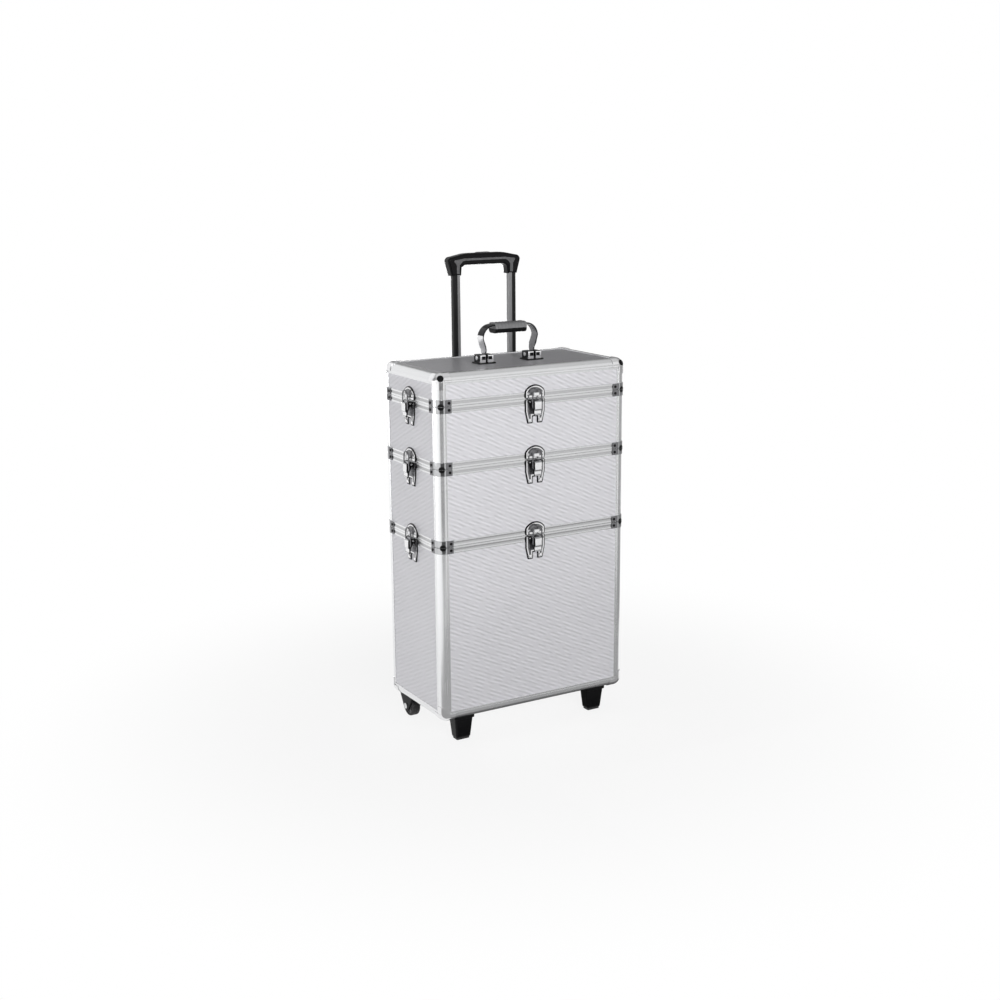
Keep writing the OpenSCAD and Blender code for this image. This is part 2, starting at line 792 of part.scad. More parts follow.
module middle_corner_fittings() color([0.90, 0.91, 0.92]) {
  corner_bracket(seam_low + free_gap, seam_low + rim_h);
  corner_bracket(seam_mid - rim_h, seam_mid - free_gap);
}

module middle_lining() color([0.10, 0.10, 0.11]) {
  wall_lining(seam_low + rim_h, seam_mid - rim_h);
  tier_floor(seam_low + rim_cap + floor_t, lining_t, wall_t);
}

// Two upright dividers across the tier
module middle_dividers() color([0.12, 0.12, 0.13])
  for (s = [-1, 1])
    translate([
      s * divider_x - divider_t / 2, -case_d / 2 + lining_in,
      seam_low + rim_cap + floor_t + lining_t
    ])
      cube([divider_t, case_d - 2 * lining_in, divider_h]);

module middle_latch_plates() color([0.90, 0.91, 0.92]) {
  latch_strikes(seam_low);
  latch_bases(seam_mid);
}

// Upper tier
module upper_panels() color([0.80, 0.80, 0.81]) {
  walls(seam_mid + rim_cap, seam_top - rim_cap);
  tier_floor(seam_mid + rim_cap, floor_t, wall_t);
}

module upper_posts() color([0.86, 0.87, 0.88])
  corner_posts(seam_mid + free_gap / 2, seam_top - free_gap / 2);

module upper_rims() color([0.84, 0.85, 0.86]) {
  bars_around(seam_mid, edge_leg) bottom_rim_profile();
  bars_around(seam_top, edge_leg) top_rim_profile();
}

module upper_corner_fittings() color([0.90, 0.91, 0.92]) {
  corner_bracket(seam_mid + free_gap, seam_mid + rim_h);
  corner_bracket(seam_top - rim_h, seam_top - free_gap);
}

module upper_lining() color([0.10, 0.10, 0.11]) {
  wall_lining(seam_mid + rim_h, seam_top - rim_h);
  tier_floor(seam_mid + rim_cap + floor_t, lining_t, wall_t);
}

// A ledge at each end for the lift-out tray
module tray_ledges() color([0.16, 0.16, 0.17])
  for (s = [0, 1])
    mirror([s, 0, 0])
      translate([-case_w / 2 + lining_in, -case_d / 2 + edge_leg, tray_low - ledge_t])
        cube([ledge_w, case_d - 2 * edge_leg, ledge_t]);

module upper_latch_plates() color([0.90, 0.91, 0.92]) {
  latch_strikes(seam_mid);
  latch_bases(seam_top);
}

// Open tray with two partitions, resting on the ledges
module lift_out_tray() color([0.16, 0.16, 0.17])
  difference() {
    translate([-tray_w / 2, -tray_d / 2, tray_low]) cube([tray_w, tray_d, tray_h]);
    for (k = [0 : 2])
      translate([
        -tray_w / 2 + tray_t + k * (tray_w - tray_t) / 3, -tray_d / 2 + tray_t,
        tray_low + tray_t
      ])
        cube([(tray_w - tray_t) / 3 - tray_t, tray_d - 2 * tray_t, tray_h]);
  }

// Lid
module lid_panels() color([0.78, 0.78, 0.79]) {
  walls(seam_top + rim_cap, lid_z - edge_r);
  translate([-case_w / 2 + edge_r, -case_d / 2 + edge_r, lid_z - trim_t - panel_t])
    cube([case_w - 2 * edge_r, case_d - 2 * edge_r, panel_t]);
}

module lid_edges() color([0.86, 0.87, 0.88]) {
  corner_posts(seam_top + free_gap / 2, lid_z - edge_leg);
  bars_around(lid_z, edge_leg) mirror([0, 1]) rail_profile();
}

module lid_rim() color([0.84, 0.85, 0.86])
  bars_around(seam_top, edge_leg) bottom_rim_profile();

module lid_corner_fittings() color([0.90, 0.91, 0.92]) {
  corner_bracket(seam_top + free_gap, seam_top + rim_h);
  each_corner() translate([0, 0, lid_z]) ball_corner();
}

module lid_lining() color([0.10, 0.10, 0.11])
  translate([
    -case_w / 2 + edge_r, -case_d / 2 + edge_r, lid_z - trim_t - panel_t - lid_pad_t
  ])
    cube([case_w - 2 * edge_r, case_d - 2 * edge_r, lid_pad_t]);

module lid_strikes() color([0.90, 0.91, 0.92]) latch_strikes(seam_top);

// Carry handle: two slotted brackets, a bent strap and a grip
module handle_brackets() color([0.90, 0.91, 0.92])
  for (s = [-1, 1])
    translate([s * strap_x, -handle_forward, lid_z - trim_t]) {
      foot_t = bracket_base + trim_t;
      web_t = foot_t + bracket_web;
      pin_in = 2;
      translate([-bracket_w / 2 - bracket_foot, -bracket_d / 2 - bracket_foot, 0])
        cube([bracket_w + 2 * bracket_foot, bracket_d + 2 * bracket_foot, foot_t]);
      translate([-bracket_w / 2, -bracket_d / 2, 0])
        cube([bracket_w, bracket_d, web_t]);
      for (t = [0, 1])
        mirror([t, 0, 0])
          translate([slot_half, -bracket_d / 2, 0])
            cube([bracket_w / 2 - slot_half, bracket_d, bracket_h + trim_t]);
      translate([-bracket_w / 2 + pin_in, 0, handle_pivot + trim_t])
        rotate([0, 90, 0]) cylinder(r = handle_pin_r, h = bracket_w - 2 * pin_in);
    }

// Outline of the strap seen from the front
module strap_outline() {
  inner_r = strap_bend - strap_t;
  leg_x = strap_x + strap_t / 2;
  knee_z = handle_pivot + strap_knee;
  translate([-bend_x, strap_top - strap_t]) square([2 * bend_x, strap_t]);
  for (s = [0, 1])
    mirror([s, 0]) {
      translate([bend_x, bend_z])
        intersection() {
          difference() {
            circle(r = strap_bend);
            circle(r = inner_r);
          }
          square(strap_bend + 1);
        }
      polygon([
        [bend_x + inner_r, bend_z], [leg_x - strap_t, knee_z],
        [leg_x - strap_t, handle_pivot - eye_r], [leg_x, handle_pivot - eye_r],
        [leg_x, knee_z], [bend_x + strap_bend, bend_z]
      ]);
    }
}

// Outline of the strap seen from the side: an eye that widens to the full width
module strap_side() {
  wide_z = handle_pivot + strap_taper;
  translate([0, handle_pivot]) circle(r = eye_r);
  polygon([
    [-eye_r, handle_pivot], [eye_r, handle_pivot], [strap_w / 2, wide_z],
    [strap_w / 2, handle_rise], [-strap_w / 2, handle_rise], [-strap_w / 2, wide_z]
  ]);
}

module handle_strap() color([0.90, 0.91, 0.92])
  translate([0, -handle_forward, lid_z])
    difference() {
      intersection() {
        translate([0, strap_w, 0]) sheet_xz(2 * strap_w) strap_outline();
        translate([-case_w / 2, 0, 0])
          rotate([90, 0, 90]) linear_extrude(case_w) strap_side();
      }
      translate([-case_w / 2, 0, handle_pivot])
        rotate([0, 90, 0]) cylinder(r = handle_pin_r + run_gap, h = case_w);
    }

module handle_grip() color([0.30, 0.30, 0.31])
  translate([-handle_grip_l / 2, -handle_forward, lid_z + handle_rise - handle_grip_t / 2]) {
    slot_z = handle_grip_t / 2 - strap_cover - strap_t;
    difference() {
      rotate([90, 0, 90]) linear_extrude(handle_grip_l)
        rounded_rect(handle_grip_d, handle_grip_t, handle_grip_r);
      translate([-eps, -strap_w / 2 - fit_gap, slot_z - fit_gap])
        cube([handle_grip_l + 2 * eps, strap_w + 2 * fit_gap, strap_t + 2 * fit_gap]);
    }
  }

base_panels();
base_edges();
base_rim();
base_corner_fittings();
base_lining();
base_latch_plates();
front_feet();
wheel_housings();
wheel_axles();
trolley_outer_tubes();
trolley_clamps();
wheel_left();
tyre_left();
wheel_right();
tyre_right();
trolley_tubes();
trolley_grip();
trolley_button();
middle_panels();
middle_posts();
middle_rims();
middle_corner_fittings();
middle_lining();
middle_dividers();
middle_latch_plates();
upper_panels();
upper_posts();
upper_rims();
upper_corner_fittings();
upper_lining();
tray_ledges();
upper_latch_plates();
lift_out_tray();
lid_panels();
lid_edges();
lid_rim();
lid_corner_fittings();
lid_lining();
lid_strikes();
handle_brackets();
handle_strap();
handle_grip();
lever("front", seam_low);  // lever_low_front
lever("left", seam_low);  // lever_low_left
lever("right", seam_low);  // lever_low_right
loop("front", seam_low);  // loop_low_front
loop("left", seam_low);  // loop_low_left
loop("right", seam_low);  // loop_low_right
lever("front", seam_mid);  // lever_mid_front
lever("left", seam_mid);  // lever_mid_left
lever("right", seam_mid);  // lever_mid_right
loop("front", seam_mid);  // loop_mid_front
loop("left", seam_mid);  // loop_mid_left
loop("right", seam_mid);  // loop_mid_right
lever("front", seam_top);  // lever_top_front
lever("left", seam_top);  // lever_top_left
lever("right", seam_top);  // lever_top_right
loop("front", seam_top);  // loop_top_front
loop("left", seam_top);  // loop_top_left
loop("right", seam_top);  // loop_top_right
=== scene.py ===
import math

import bmesh
import bpy
from mathutils import Matrix, Vector


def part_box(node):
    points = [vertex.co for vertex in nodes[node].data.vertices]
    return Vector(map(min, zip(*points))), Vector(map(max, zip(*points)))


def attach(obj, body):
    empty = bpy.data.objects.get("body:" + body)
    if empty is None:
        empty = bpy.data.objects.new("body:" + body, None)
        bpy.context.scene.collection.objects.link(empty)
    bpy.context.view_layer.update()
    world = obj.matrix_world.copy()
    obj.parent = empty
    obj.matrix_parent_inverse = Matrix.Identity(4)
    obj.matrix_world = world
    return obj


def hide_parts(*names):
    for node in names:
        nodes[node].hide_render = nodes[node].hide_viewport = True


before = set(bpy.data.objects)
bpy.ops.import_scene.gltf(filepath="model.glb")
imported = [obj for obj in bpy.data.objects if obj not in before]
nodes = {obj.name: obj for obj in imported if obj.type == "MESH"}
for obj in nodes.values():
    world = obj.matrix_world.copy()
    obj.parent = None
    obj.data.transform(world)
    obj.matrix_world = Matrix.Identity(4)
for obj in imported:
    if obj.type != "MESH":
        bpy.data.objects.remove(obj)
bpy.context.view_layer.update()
mm = 0.001
hair = 0.05  # a gap or overlap in millimetres that is too small to see
scene = bpy.context.scene
print("frame loaded:", len(nodes), "nodes")


# a node's two corners in millimetres, the unit that the pieces are drawn in
def boxOf(node):
    return [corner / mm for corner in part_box(node)]


# heights and sides that every piece is placed by
binLow, binHigh = boxOf("base_edges")
caseW = binHigh.x - binLow.x
caseD = binHigh.y - binLow.y
seamLow = boxOf("base_rim")[1].z
seamMid = boxOf("middle_rims")[1].z
seamTop = boxOf("upper_rims")[1].z
lidTop = boxOf("lid_edges")[1].z

# the photograph's view, as fitted to the case's edges
viewPoint = {
    "place": (-1.2020, -2.0452, 0.9211),
    "yaw": 30.209,
    "pitch": 13.053,
    "roll": -0.439,
    "lens": 52.6,
    "sensor": 36,
}


def makeCamera():
    yaw = math.radians(viewPoint["yaw"])
    pitch = math.radians(viewPoint["pitch"])
    roll = math.radians(viewPoint["roll"])
    ahead = Vector((math.sin(yaw) * math.cos(pitch), math.cos(yaw) * math.cos(pitch), -math.sin(pitch)))
    right = Vector((math.cos(yaw), -math.sin(yaw), 0))
    up = right.cross(ahead)
    turnedRight = right * math.cos(roll) + up * math.sin(roll)
    turnedUp = up * math.cos(roll) - right * math.sin(roll)
    data = bpy.data.cameras.new("photoCamera")
    data.lens = viewPoint["lens"]
    data.sensor_width = viewPoint["sensor"]
    camera = bpy.data.objects.new("photoCamera", data)
    turn = Matrix((turnedRight, turnedUp, -ahead)).transposed().to_4x4()
    camera.matrix_world = Matrix.Translation(viewPoint["place"]) @ turn
    scene.collection.objects.link(camera)
    scene.camera = camera


makeCamera()


# node helpers: a socket given as a value is linked, anything else is set
def wire(tree, kind, inputs=None, **settings):
    made = tree.nodes.new(kind)
    for key, value in settings.items():
        setattr(made, key, value)
    for key, value in (inputs or {}).items():
        if isinstance(value, bpy.types.NodeSocket):
            tree.links.new(value, made.inputs[key])
        else:
            made.inputs[key].default_value = value
    return made


def calc(tree, operation, first, second=0.0, third=0.0):
    return wire(tree, "ShaderNodeMath", {0: first, 1: second, 2: third}, operation=operation).outputs[0]


# two values mixed by weight
def blend(tree, first, second, share=0.5):
    return calc(tree, "MULTIPLY_ADD", first, share, calc(tree, "MULTIPLY", second, 1 - share))


def span(tree, value, low, high):
    return wire(tree, "ShaderNodeMapRange", {"Value": value, "To Min": low, "To Max": high}).outputs[0]


def shade(tree, value, dark, light):
    made = wire(tree, "ShaderNodeValToRGB", {"Fac": value})
    made.color_ramp.elements[0].color = (*dark, 1)
    made.color_ramp.elements[1].color = (*light, 1)
    return made.outputs["Color"]


# a dark and a light tone of one colour
def tones(color, factors, tint=1.0):
    return [tuple(min(1.0, channel * factor * tint) for channel in color) for factor in factors]


def objectPlace(tree, scale=(1, 1, 1)):
    place = wire(tree, "ShaderNodeTexCoord").outputs["Object"]
    return wire(tree, "ShaderNodeMapping", {"Vector": place, "Scale": scale}).outputs["Vector"]


def speckle(tree, place, scale, detail=2.0, rough=0.5):
    inputs = {"Vector": place, "Scale": scale, "Detail": detail, "Roughness": rough}
    return wire(tree, "ShaderNodeTexNoise", inputs).outputs["Fac"]


def startMaterial(name, metal=0.0):
    material = bpy.data.materials.new(name)
    material.use_nodes = True
    shader = material.node_tree.nodes["Principled BSDF"]
    shader.inputs["Metallic"].default_value = metal
    return material, material.node_tree, shader


def finishMaterial(tree, shader, color, rough, height, facts):
    inputs = {"Height": height, "Strength": facts["bump"], "Distance": facts["depth"]}
    bump = wire(tree, "ShaderNodeBump", inputs)
    tree.links.new(color, shader.inputs["Base Color"])
    tree.links.new(rough, shader.inputs["Roughness"])
    tree.links.new(bump.outputs["Normal"], shader.inputs["Normal"])


# silver sheet with a slanting ripple pressed into it, in rows of uneven dashes; the ripple is also painted
# into the colour as its shade and highlight, more strongly than on the left and right sides
sheetFinish = {
    "color": (0.735, 0.73, 0.762), "tones": (0.79, 1.18), "metal": 0.30, "rough": (0.34, 0.42),
    "pitch": 6.4 * mm, "slant": 25, "wander": 1.3 * mm, "wanderScale": 32,
    "dash": 16 * mm, "dashRange": (0.38, 0.60), "dashLeast": 0.05, "rows": 0.8,
    "grain": 900, "grainHigh": 0.06, "cloud": 7, "cloudWeight": 0.3,
    "weight": (0.80, 0.36), "middle": 0.35, "bump": 0.4, "depth": 0.7 * mm,
}


def embossedSheet(name):
    material, tree, shader = startMaterial(name, sheetFinish["metal"])
    place = wire(tree, "ShaderNodeTexCoord").outputs["Object"]
    x, y, z = wire(tree, "ShaderNodeSeparateXYZ", {0: place}).outputs
    normal = wire(tree, "ShaderNodeNewGeometry").outputs["Normal"]
    normal = wire(tree, "ShaderNodeVectorMath", {0: normal}, operation="ABSOLUTE").outputs[0]
    normalX, normalY, normalZ = wire(tree, "ShaderNodeSeparateXYZ", {0: normal}).outputs
    onSide = calc(tree, "GREATER_THAN", normalX, 0.5)
    onTop = calc(tree, "GREATER_THAN", normalZ, 0.5)
    across = wire(tree, "ShaderNodeMix", {0: onSide, 2: x, 3: y}).outputs[0]
    upward = wire(tree, "ShaderNodeMix", {0: onTop, 2: z, 3: y}).outputs[0]
    slant = math.radians(sheetFinish["slant"])
    climb = calc(tree, "MULTIPLY", upward, math.cos(slant))
    over = calc(tree, "MULTIPLY_ADD", across, math.sin(slant), climb)
    fall = calc(tree, "MULTIPLY", upward, -math.sin(slant))
    along = calc(tree, "MULTIPLY_ADD", across, math.cos(slant), fall)
    drift = calc(tree, "SUBTRACT", speckle(tree, place, sheetFinish["wanderScale"], 1.0), 0.5)
    over = calc(tree, "MULTIPLY_ADD", drift, 2 * sheetFinish["wander"], over)
    ripple = calc(tree, "SINE", calc(tree, "MULTIPLY", over, 2 * math.pi / sheetFinish["pitch"]))
    row = calc(tree, "MULTIPLY", over, sheetFinish["rows"] / sheetFinish["pitch"])
    stretch = calc(tree, "MULTIPLY", along, 1 / sheetFinish["dash"])
    patch = wire(tree, "ShaderNodeCombineXYZ", {0: stretch, 1: row}).outputs[0]
    first, last = sheetFinish["dashRange"]
    inputs = {"Value": speckle(tree, patch, 1.0, 1.0), "From Min": first, "From Max": last}
    inputs["To Min"] = sheetFinish["dashLeast"]
    dash = wire(tree, "ShaderNodeMapRange", inputs).outputs[0]
    ripple = calc(tree, "MULTIPLY_ADD", calc(tree, "MULTIPLY", ripple, dash), 0.5, 0.5)
    grain = speckle(tree, place, sheetFinish["grain"])
    height = calc(tree, "MULTIPLY_ADD", grain, sheetFinish["grainHigh"], ripple)
    cloudy = speckle(tree, place, sheetFinish["cloud"], 3.0)
    # painted shade and highlight of the ripple, stronger on front, back and top than on the left and right
    # sides
    weight = span(tree, onSide, *sheetFinish["weight"])
    rippleShade = calc(tree, "MULTIPLY_ADD", calc(tree, "SUBTRACT", ripple, 0.5), weight, sheetFinish["middle"])
    mottled = calc(tree, "MULTIPLY_ADD", cloudy, sheetFinish["cloudWeight"], rippleShade)
    color = shade(tree, mottled, *tones(sheetFinish["color"], sheetFinish["tones"]))
    rough = span(tree, blend(tree, grain, cloudy), *sheetFinish["rough"])
    finishMaterial(tree, shader, color, rough, height, sheetFinish)
    return material


# extruded aluminium with its drawing lines along one axis
satinFinish = {
    "color": (0.83, 0.835, 0.845), "tones": (0.93, 1.03), "rough": (0.20, 0.32), "fine": 2600, "long": 9,
    "cloud": 12, "bump": 0.12, "depth": 0.05 * mm,
}


def satinAluminium(name, axis, tint=1.0):
    material, tree, shader = startMaterial(name, 1.0)
    scale = [satinFinish["fine"]] * 3
    scale[axis] = satinFinish["long"]
    lines = speckle(tree, objectPlace(tree, scale), 1.0, 3.0, 0.6)
    cloudy = speckle(tree, objectPlace(tree), satinFinish["cloud"], 3.0)
    tone = blend(tree, lines, cloudy)
    color = shade(tree, tone, *tones(satinFinish["color"], satinFinish["tones"], tint))
    finishMaterial(tree, shader, color, span(tree, tone, *satinFinish["rough"]), lines, satinFinish)
    return material


# bright plating with faint ripples and finger marks
platingFinish = {"tones": (0.94, 1.03), "marks": 130, "waves": 420, "bump": 0.06, "depth": 0.1 * mm}


def brightPlating(name, color, rough):
    material, tree, shader = startMaterial(name, 1.0)
    place = objectPlace(tree)
    marks = speckle(tree, place, platingFinish["marks"], 4.0, 0.6)
    waves = speckle(tree, place, platingFinish["waves"], 1.0)
    color = shade(tree, marks, *tones(color, platingFinish["tones"]))
    finishMaterial(tree, shader, color, span(tree, marks, *rough), waves, platingFinish)
    return material


# moulded plastic with a fine spark-eroded grain
plasticFinish = {"tones": (0.82, 1.2), "cloud": 40, "spread": 0.06, "bump": 0.35}


def mouldedPlastic(name, color, rough, grain=1500, depth=0.05, shine=0.5):
    material, tree, shader = startMaterial(name)
    shader.inputs["Specular IOR Level"].default_value = shine
    place = objectPlace(tree)
    pits = wire(tree, "ShaderNodeTexVoronoi", {"Vector": place, "Scale": grain}).outputs["Distance"]
    cloudy = speckle(tree, place, plasticFinish["cloud"], 4.0)
    color = shade(tree, cloudy, *tones(color, plasticFinish["tones"]))
    worn = span(tree, cloudy, rough - plasticFinish["spread"], rough + plasticFinish["spread"])
    finishMaterial(tree, shader, color, worn, pits, {**plasticFinish, "depth": depth * mm})
    return material


# anodised tube with drawing lines along its length
tubeFinish = {
    "metal": 0.55, "tones": (0.75, 1.35), "lines": (3000, 3000, 8), "cloud": 25, "share": 0.6,
    "bump": 0.15, "depth": 0.04 * mm,
}


def anodisedTube(name, color, rough):
    material, tree, shader = startMaterial(name, tubeFinish["metal"])
    lines = speckle(tree, objectPlace(tree, tubeFinish["lines"]), 1.0)
    cloudy = speckle(tree, objectPlace(tree), tubeFinish["cloud"], 3.0)
    tone = blend(tree, lines, cloudy, tubeFinish["share"])
    color = shade(tree, tone, *tones(color, tubeFinish["tones"]))
    finishMaterial(tree, shader, color, span(tree, tone, *rough), lines, tubeFinish)
    return material


# turned steel, ringed about the axle
steelFinish = {
    "dark": (0.58, 0.585, 0.59), "light": (0.76, 0.765, 0.77), "rough": (0.22, 0.38),
    "rings": (2500, 200, 200), "bump": 0.2, "depth": 0.05 * mm,
}


def turnedSteel(name):
    material, tree, shader = startMaterial(name, 1.0)
    rings = speckle(tree, objectPlace(tree, steelFinish["rings"]), 1.0, 3.0)
    color = shade(tree, rings, steelFinish["dark"], steelFinish["light"])
    finishMaterial(tree, shader, color, span(tree, rings, *steelFinish["rough"]), rings, steelFinish)
    return material


# woven cloth: warp and weft threads seen on every face
clothFinish = {
    "thread": 0.9 * mm, "tones": (0.7, 1.35), "rough": (0.78, 0.92), "weft": 0.6, "fuzz": 700,
    "fuzzHigh": 0.4, "cloud": 18, "sheen": 0.25, "bump": 0.5, "depth": 0.25 * mm,
}


def wovenCloth(name, color, thread=clothFinish["thread"]):
    material, tree, shader = startMaterial(name)
    shader.inputs["Sheen Weight"].default_value = clothFinish["sheen"]
    place = wire(tree, "ShaderNodeTexCoord").outputs["Object"]
    x, y, z = wire(tree, "ShaderNodeSeparateXYZ", {0: place}).outputs
    turns = 2 * math.pi / thread
    waves = [calc(tree, "SINE", calc(tree, "MULTIPLY", part, turns)) for part in (x, y, z)]
    warp = calc(tree, "ADD", waves[0], waves[1])
    weave = calc(tree, "MULTIPLY", warp, calc(tree, "ADD", waves[2], clothFinish["weft"]))
    weave = calc(tree, "MULTIPLY_ADD", weave, 0.25, 0.5)
    fuzz = speckle(tree, place, clothFinish["fuzz"], 3.0)
    cloudy = speckle(tree, place, clothFinish["cloud"], 3.0)
    color = shade(tree, blend(tree, weave, cloudy), *tones(color, clothFinish["tones"]))
    rough = span(tree, fuzz, *clothFinish["rough"])
    height = calc(tree, "MULTIPLY_ADD", fuzz, clothFinish["fuzzHigh"], weave)
    finishMaterial(tree, shader, color, rough, height, clothFinish)
    return material


sheetSilver = embossedSheet("embossedSilver")
satinUp = satinAluminium("satinUpright", 2)
satinAcross = satinAluminium("satinAcross", 0)
satinDeep = satinAluminium("satinDeep", 1)
# darker copies of the satin: painted shade on the front and back rims and on the rim grooves
shadedRimAcross = satinAluminium("shadedRimAcross", 0, 0.87)
shadedGrooveAcross = satinAluminium("shadedGrooveAcross", 0, 0.66)
grooveDeep = satinAluminium("grooveDeep", 1, 0.62)
chrome = brightPlating("brightChrome", (0.54, 0.545, 0.555), (0.04, 0.12))
polished = brightPlating("polishedBright", (0.86, 0.86, 0.87), (0.12, 0.22))
# dark and mid-grey copies of the plating, painted where the metal shows shade and dark reflections
paintedDarkShade = brightPlating("paintedDarkShadeMetal", (0.018, 0.018, 0.020), (0.16, 0.30))
paintedMidShade = brightPlating("paintedMidShade", (0.20, 0.20, 0.208), (0.18, 0.32))
blackMoulding = mouldedPlastic("blackMoulding", (0.0045, 0.0045, 0.005), 0.40, shine=0.12)
glossMoulding = mouldedPlastic("glossMoulding", (0.003, 0.003, 0.0035), 0.22, depth=0.02, shine=0.14)
# grey of the trolley grip's inlay, a moulded insert that also serves as a painted highlight
highlightInlay = mouldedPlastic("highlightInlay", (0.11, 0.11, 0.114), 0.40)
greyMoulding = mouldedPlastic("greyMoulding", (0.21, 0.21, 0.215), 0.45)
buttonMoulding = mouldedPlastic("buttonMoulding", (0.09, 0.09, 0.095), 0.36)
wheelMoulding = mouldedPlastic("wheelMoulding", (0.13, 0.13, 0.135), 0.34)
trayMoulding = mouldedPlastic("trayMoulding", (0.045, 0.045, 0.048), 0.30, 800, 0.12)
softRubber = mouldedPlastic("softRubber", (0.016, 0.016, 0.017), 0.68, 1100, 0.08)
tubeBlack = anodisedTube("tubeBlack", (0.005, 0.005, 0.0055), (0.28, 0.42))
tubeGrey = anodisedTube("tubeGrey", (0.22, 0.22, 0.225), (0.30, 0.44))
steel = turnedSteel("turnedSteel")
liningCloth = wovenCloth("liningCloth", (0.046, 0.046, 0.050))
padCloth = wovenCloth("padCloth", (0.060, 0.060, 0.066), 1.3 * mm)
print("materials made:", len(bpy.data.materials))

# the panels keep their own solids and get a finish; every other node is replaced by a piece below
for name in ("base_panels", "middle_panels", "upper_panels", "lid_panels"):
    nodes[name].data.materials.clear()
    nodes[name].data.materials.append(sheetSilver)


# places: shapes are drawn in millimetres, then moved and gathered into a piece
def shift(x=0, y=0, z=0):
    return Matrix.Translation((x, y, z))


def rotate(degrees, axis):
    return Matrix.Rotation(math.radians(degrees), 4, axis)


# scales, and mirrors where a number is negative
def scaleBy(x=1, y=1, z=1):
    return Matrix.Diagonal((x, y, z, 1))


toMetres = Matrix.Scale(mm, 4)
upright = rotate(90, "X")  # an outline's y turns up, its depth turns to the front
lieAcross = rotate(90, "Y")  # a disc's axis turns across the case
# an outline's y turns up, and its length runs across the case or from front to back
alongX = Matrix(((0, 0, 1, 0), (1, 0, 0, 0), (0, 1, 0, 0), (0, 0, 0, 1)))
alongY = Matrix(((1, 0, 0, 0), (0, 0, 1, 0), (0, 1, 0, 0), (0, 0, 0, 1)))


# the four upright corners, drawn at the front left with both sides running inwards
def cornerPlaces(z, flip=1):
    places = []
    for sideX in (-1, 1):
        for sideY in (-1, 1):
            corner = shift(sideX * caseW / 2, sideY * caseD / 2, z)
            places.append(toMetres @ corner @ scaleBy(-sideX, -sideY, flip))
    return places


# shape helpers
def only(kind, things):
    return [thing for thing in things if isinstance(thing, kind)]


def arc(x, y, radius, first, last, steps):
    angles = [math.radians(first + (last - first) * k / steps) for k in range(steps + 1)]
    return [(x + radius * math.cos(a), y + radius * math.sin(a)) for a in angles]


# the right half of an outline, closed with its mirror image
def bothSides(right):
    return right + [(-x, y) for x, y in reversed(right)]


def moved(part, place):
    bmesh.ops.transform(part, matrix=place, verts=part.verts)
    return part


def facedOut(part):
    bmesh.ops.recalc_face_normals(part, faces=part.faces)
    return part


def prism(outline, low, high):
    part = bmesh.new()
    base = part.faces.new([part.verts.new((x, y, low)) for x, y in outline])
    grown = bmesh.ops.extrude_face_region(part, geom=[base])["geom"]
    bmesh.ops.translate(part, vec=(0, 0, high - low), verts=only(bmesh.types.BMVert, grown))
    return facedOut(part)


def block(low, high):
    part = bmesh.new()
    low, high = Vector(low), Vector(high)
    size = scaleBy(*(high - low))
    bmesh.ops.create_cube(part, size=1, matrix=Matrix.Translation((low + high) / 2) @ size)
    return part


def disc(radius, low, high, sides=24):
    part = bmesh.new()
    bmesh.ops.create_cone(part, cap_ends=True, segments=sides, radius1=radius, radius2=radius,
                          depth=high - low, matrix=shift(z=(low + high) / 2))
    return part


# ring turned about the x axis, from an outline of radius and place along it
def spun(outline, steps):
    part = bmesh.new()
    ring = [part.verts.new((x, 0, radius)) for radius, x in outline]
    edges = [part.edges.new(pair) for pair in zip(ring, ring[1:] + ring[:1])]
    bmesh.ops.spin(part, geom=ring + edges, cent=(0, 0, 0), axis=(1, 0, 0), angle=2 * math.pi,
                   steps=steps, use_merge=True)
    return facedOut(part)


# rounds the sharp edges, or those of them whose middle and direction are picked
def soften(part, width, segments=2, pick=None, sharp=50):
    edges = [e for e in part.edges if len(e.link_faces) == 2]
    edges = [e for e in edges if e.calc_face_angle() > math.radians(sharp)]
    if pick:
        ends = [(e, e.verts[0].co, e.verts[1].co) for e in edges]
        edges = [e for e, first, last in ends if pick((first + last) / 2, last - first)]
    bmesh.ops.bevel(part, geom=edges, offset=width, offset_type="OFFSET", affect="EDGES",
                    segments=segments, profile=0.5, material=-1, clamp_overlap=True)
    return part


def standing(middle, along):
    return abs(along.normalized().z) > 0.9


# sets a flat face back within a border, or lifts it when the depth is negative
def sink(part, face, border, depth):
    bmesh.ops.inset_individual(part, faces=[face], thickness=border, use_even_offset=True)
    bmesh.ops.translate(part, vec=face.normal * -depth, verts=face.verts)
    return part


# straight-sided pocket in a flat face, with a wall left round it
def hollow(part, face, wall, depth):
    bmesh.ops.inset_individual(part, faces=[face], thickness=wall, use_even_offset=True)
    down = face.normal * -depth
    grown = bmesh.ops.extrude_face_region(part, geom=[face])["geom"]
    bmesh.ops.translate(part, vec=down, verts=only(bmesh.types.BMVert, grown))
    bmesh.ops.delete(part, geom=[face], context="FACES_ONLY")
    return part


# parts every face along a plane; what lies beyond it can be cut away and the cut closed
def slit(part, place, along, cutAway=False):
    everything = part.verts[:] + part.edges[:] + part.faces[:]
    cut = bmesh.ops.bisect_plane(part, geom=everything, plane_co=place, plane_no=along,
                                 clear_outer=cutAway)
    if cutAway:
        bmesh.ops.holes_fill(part, edges=only(bmesh.types.BMEdge, cut["geom_cut"]), sides=0)


def topFace(part):
    return max(part.faces, key=lambda f: f.calc_center_median().z)


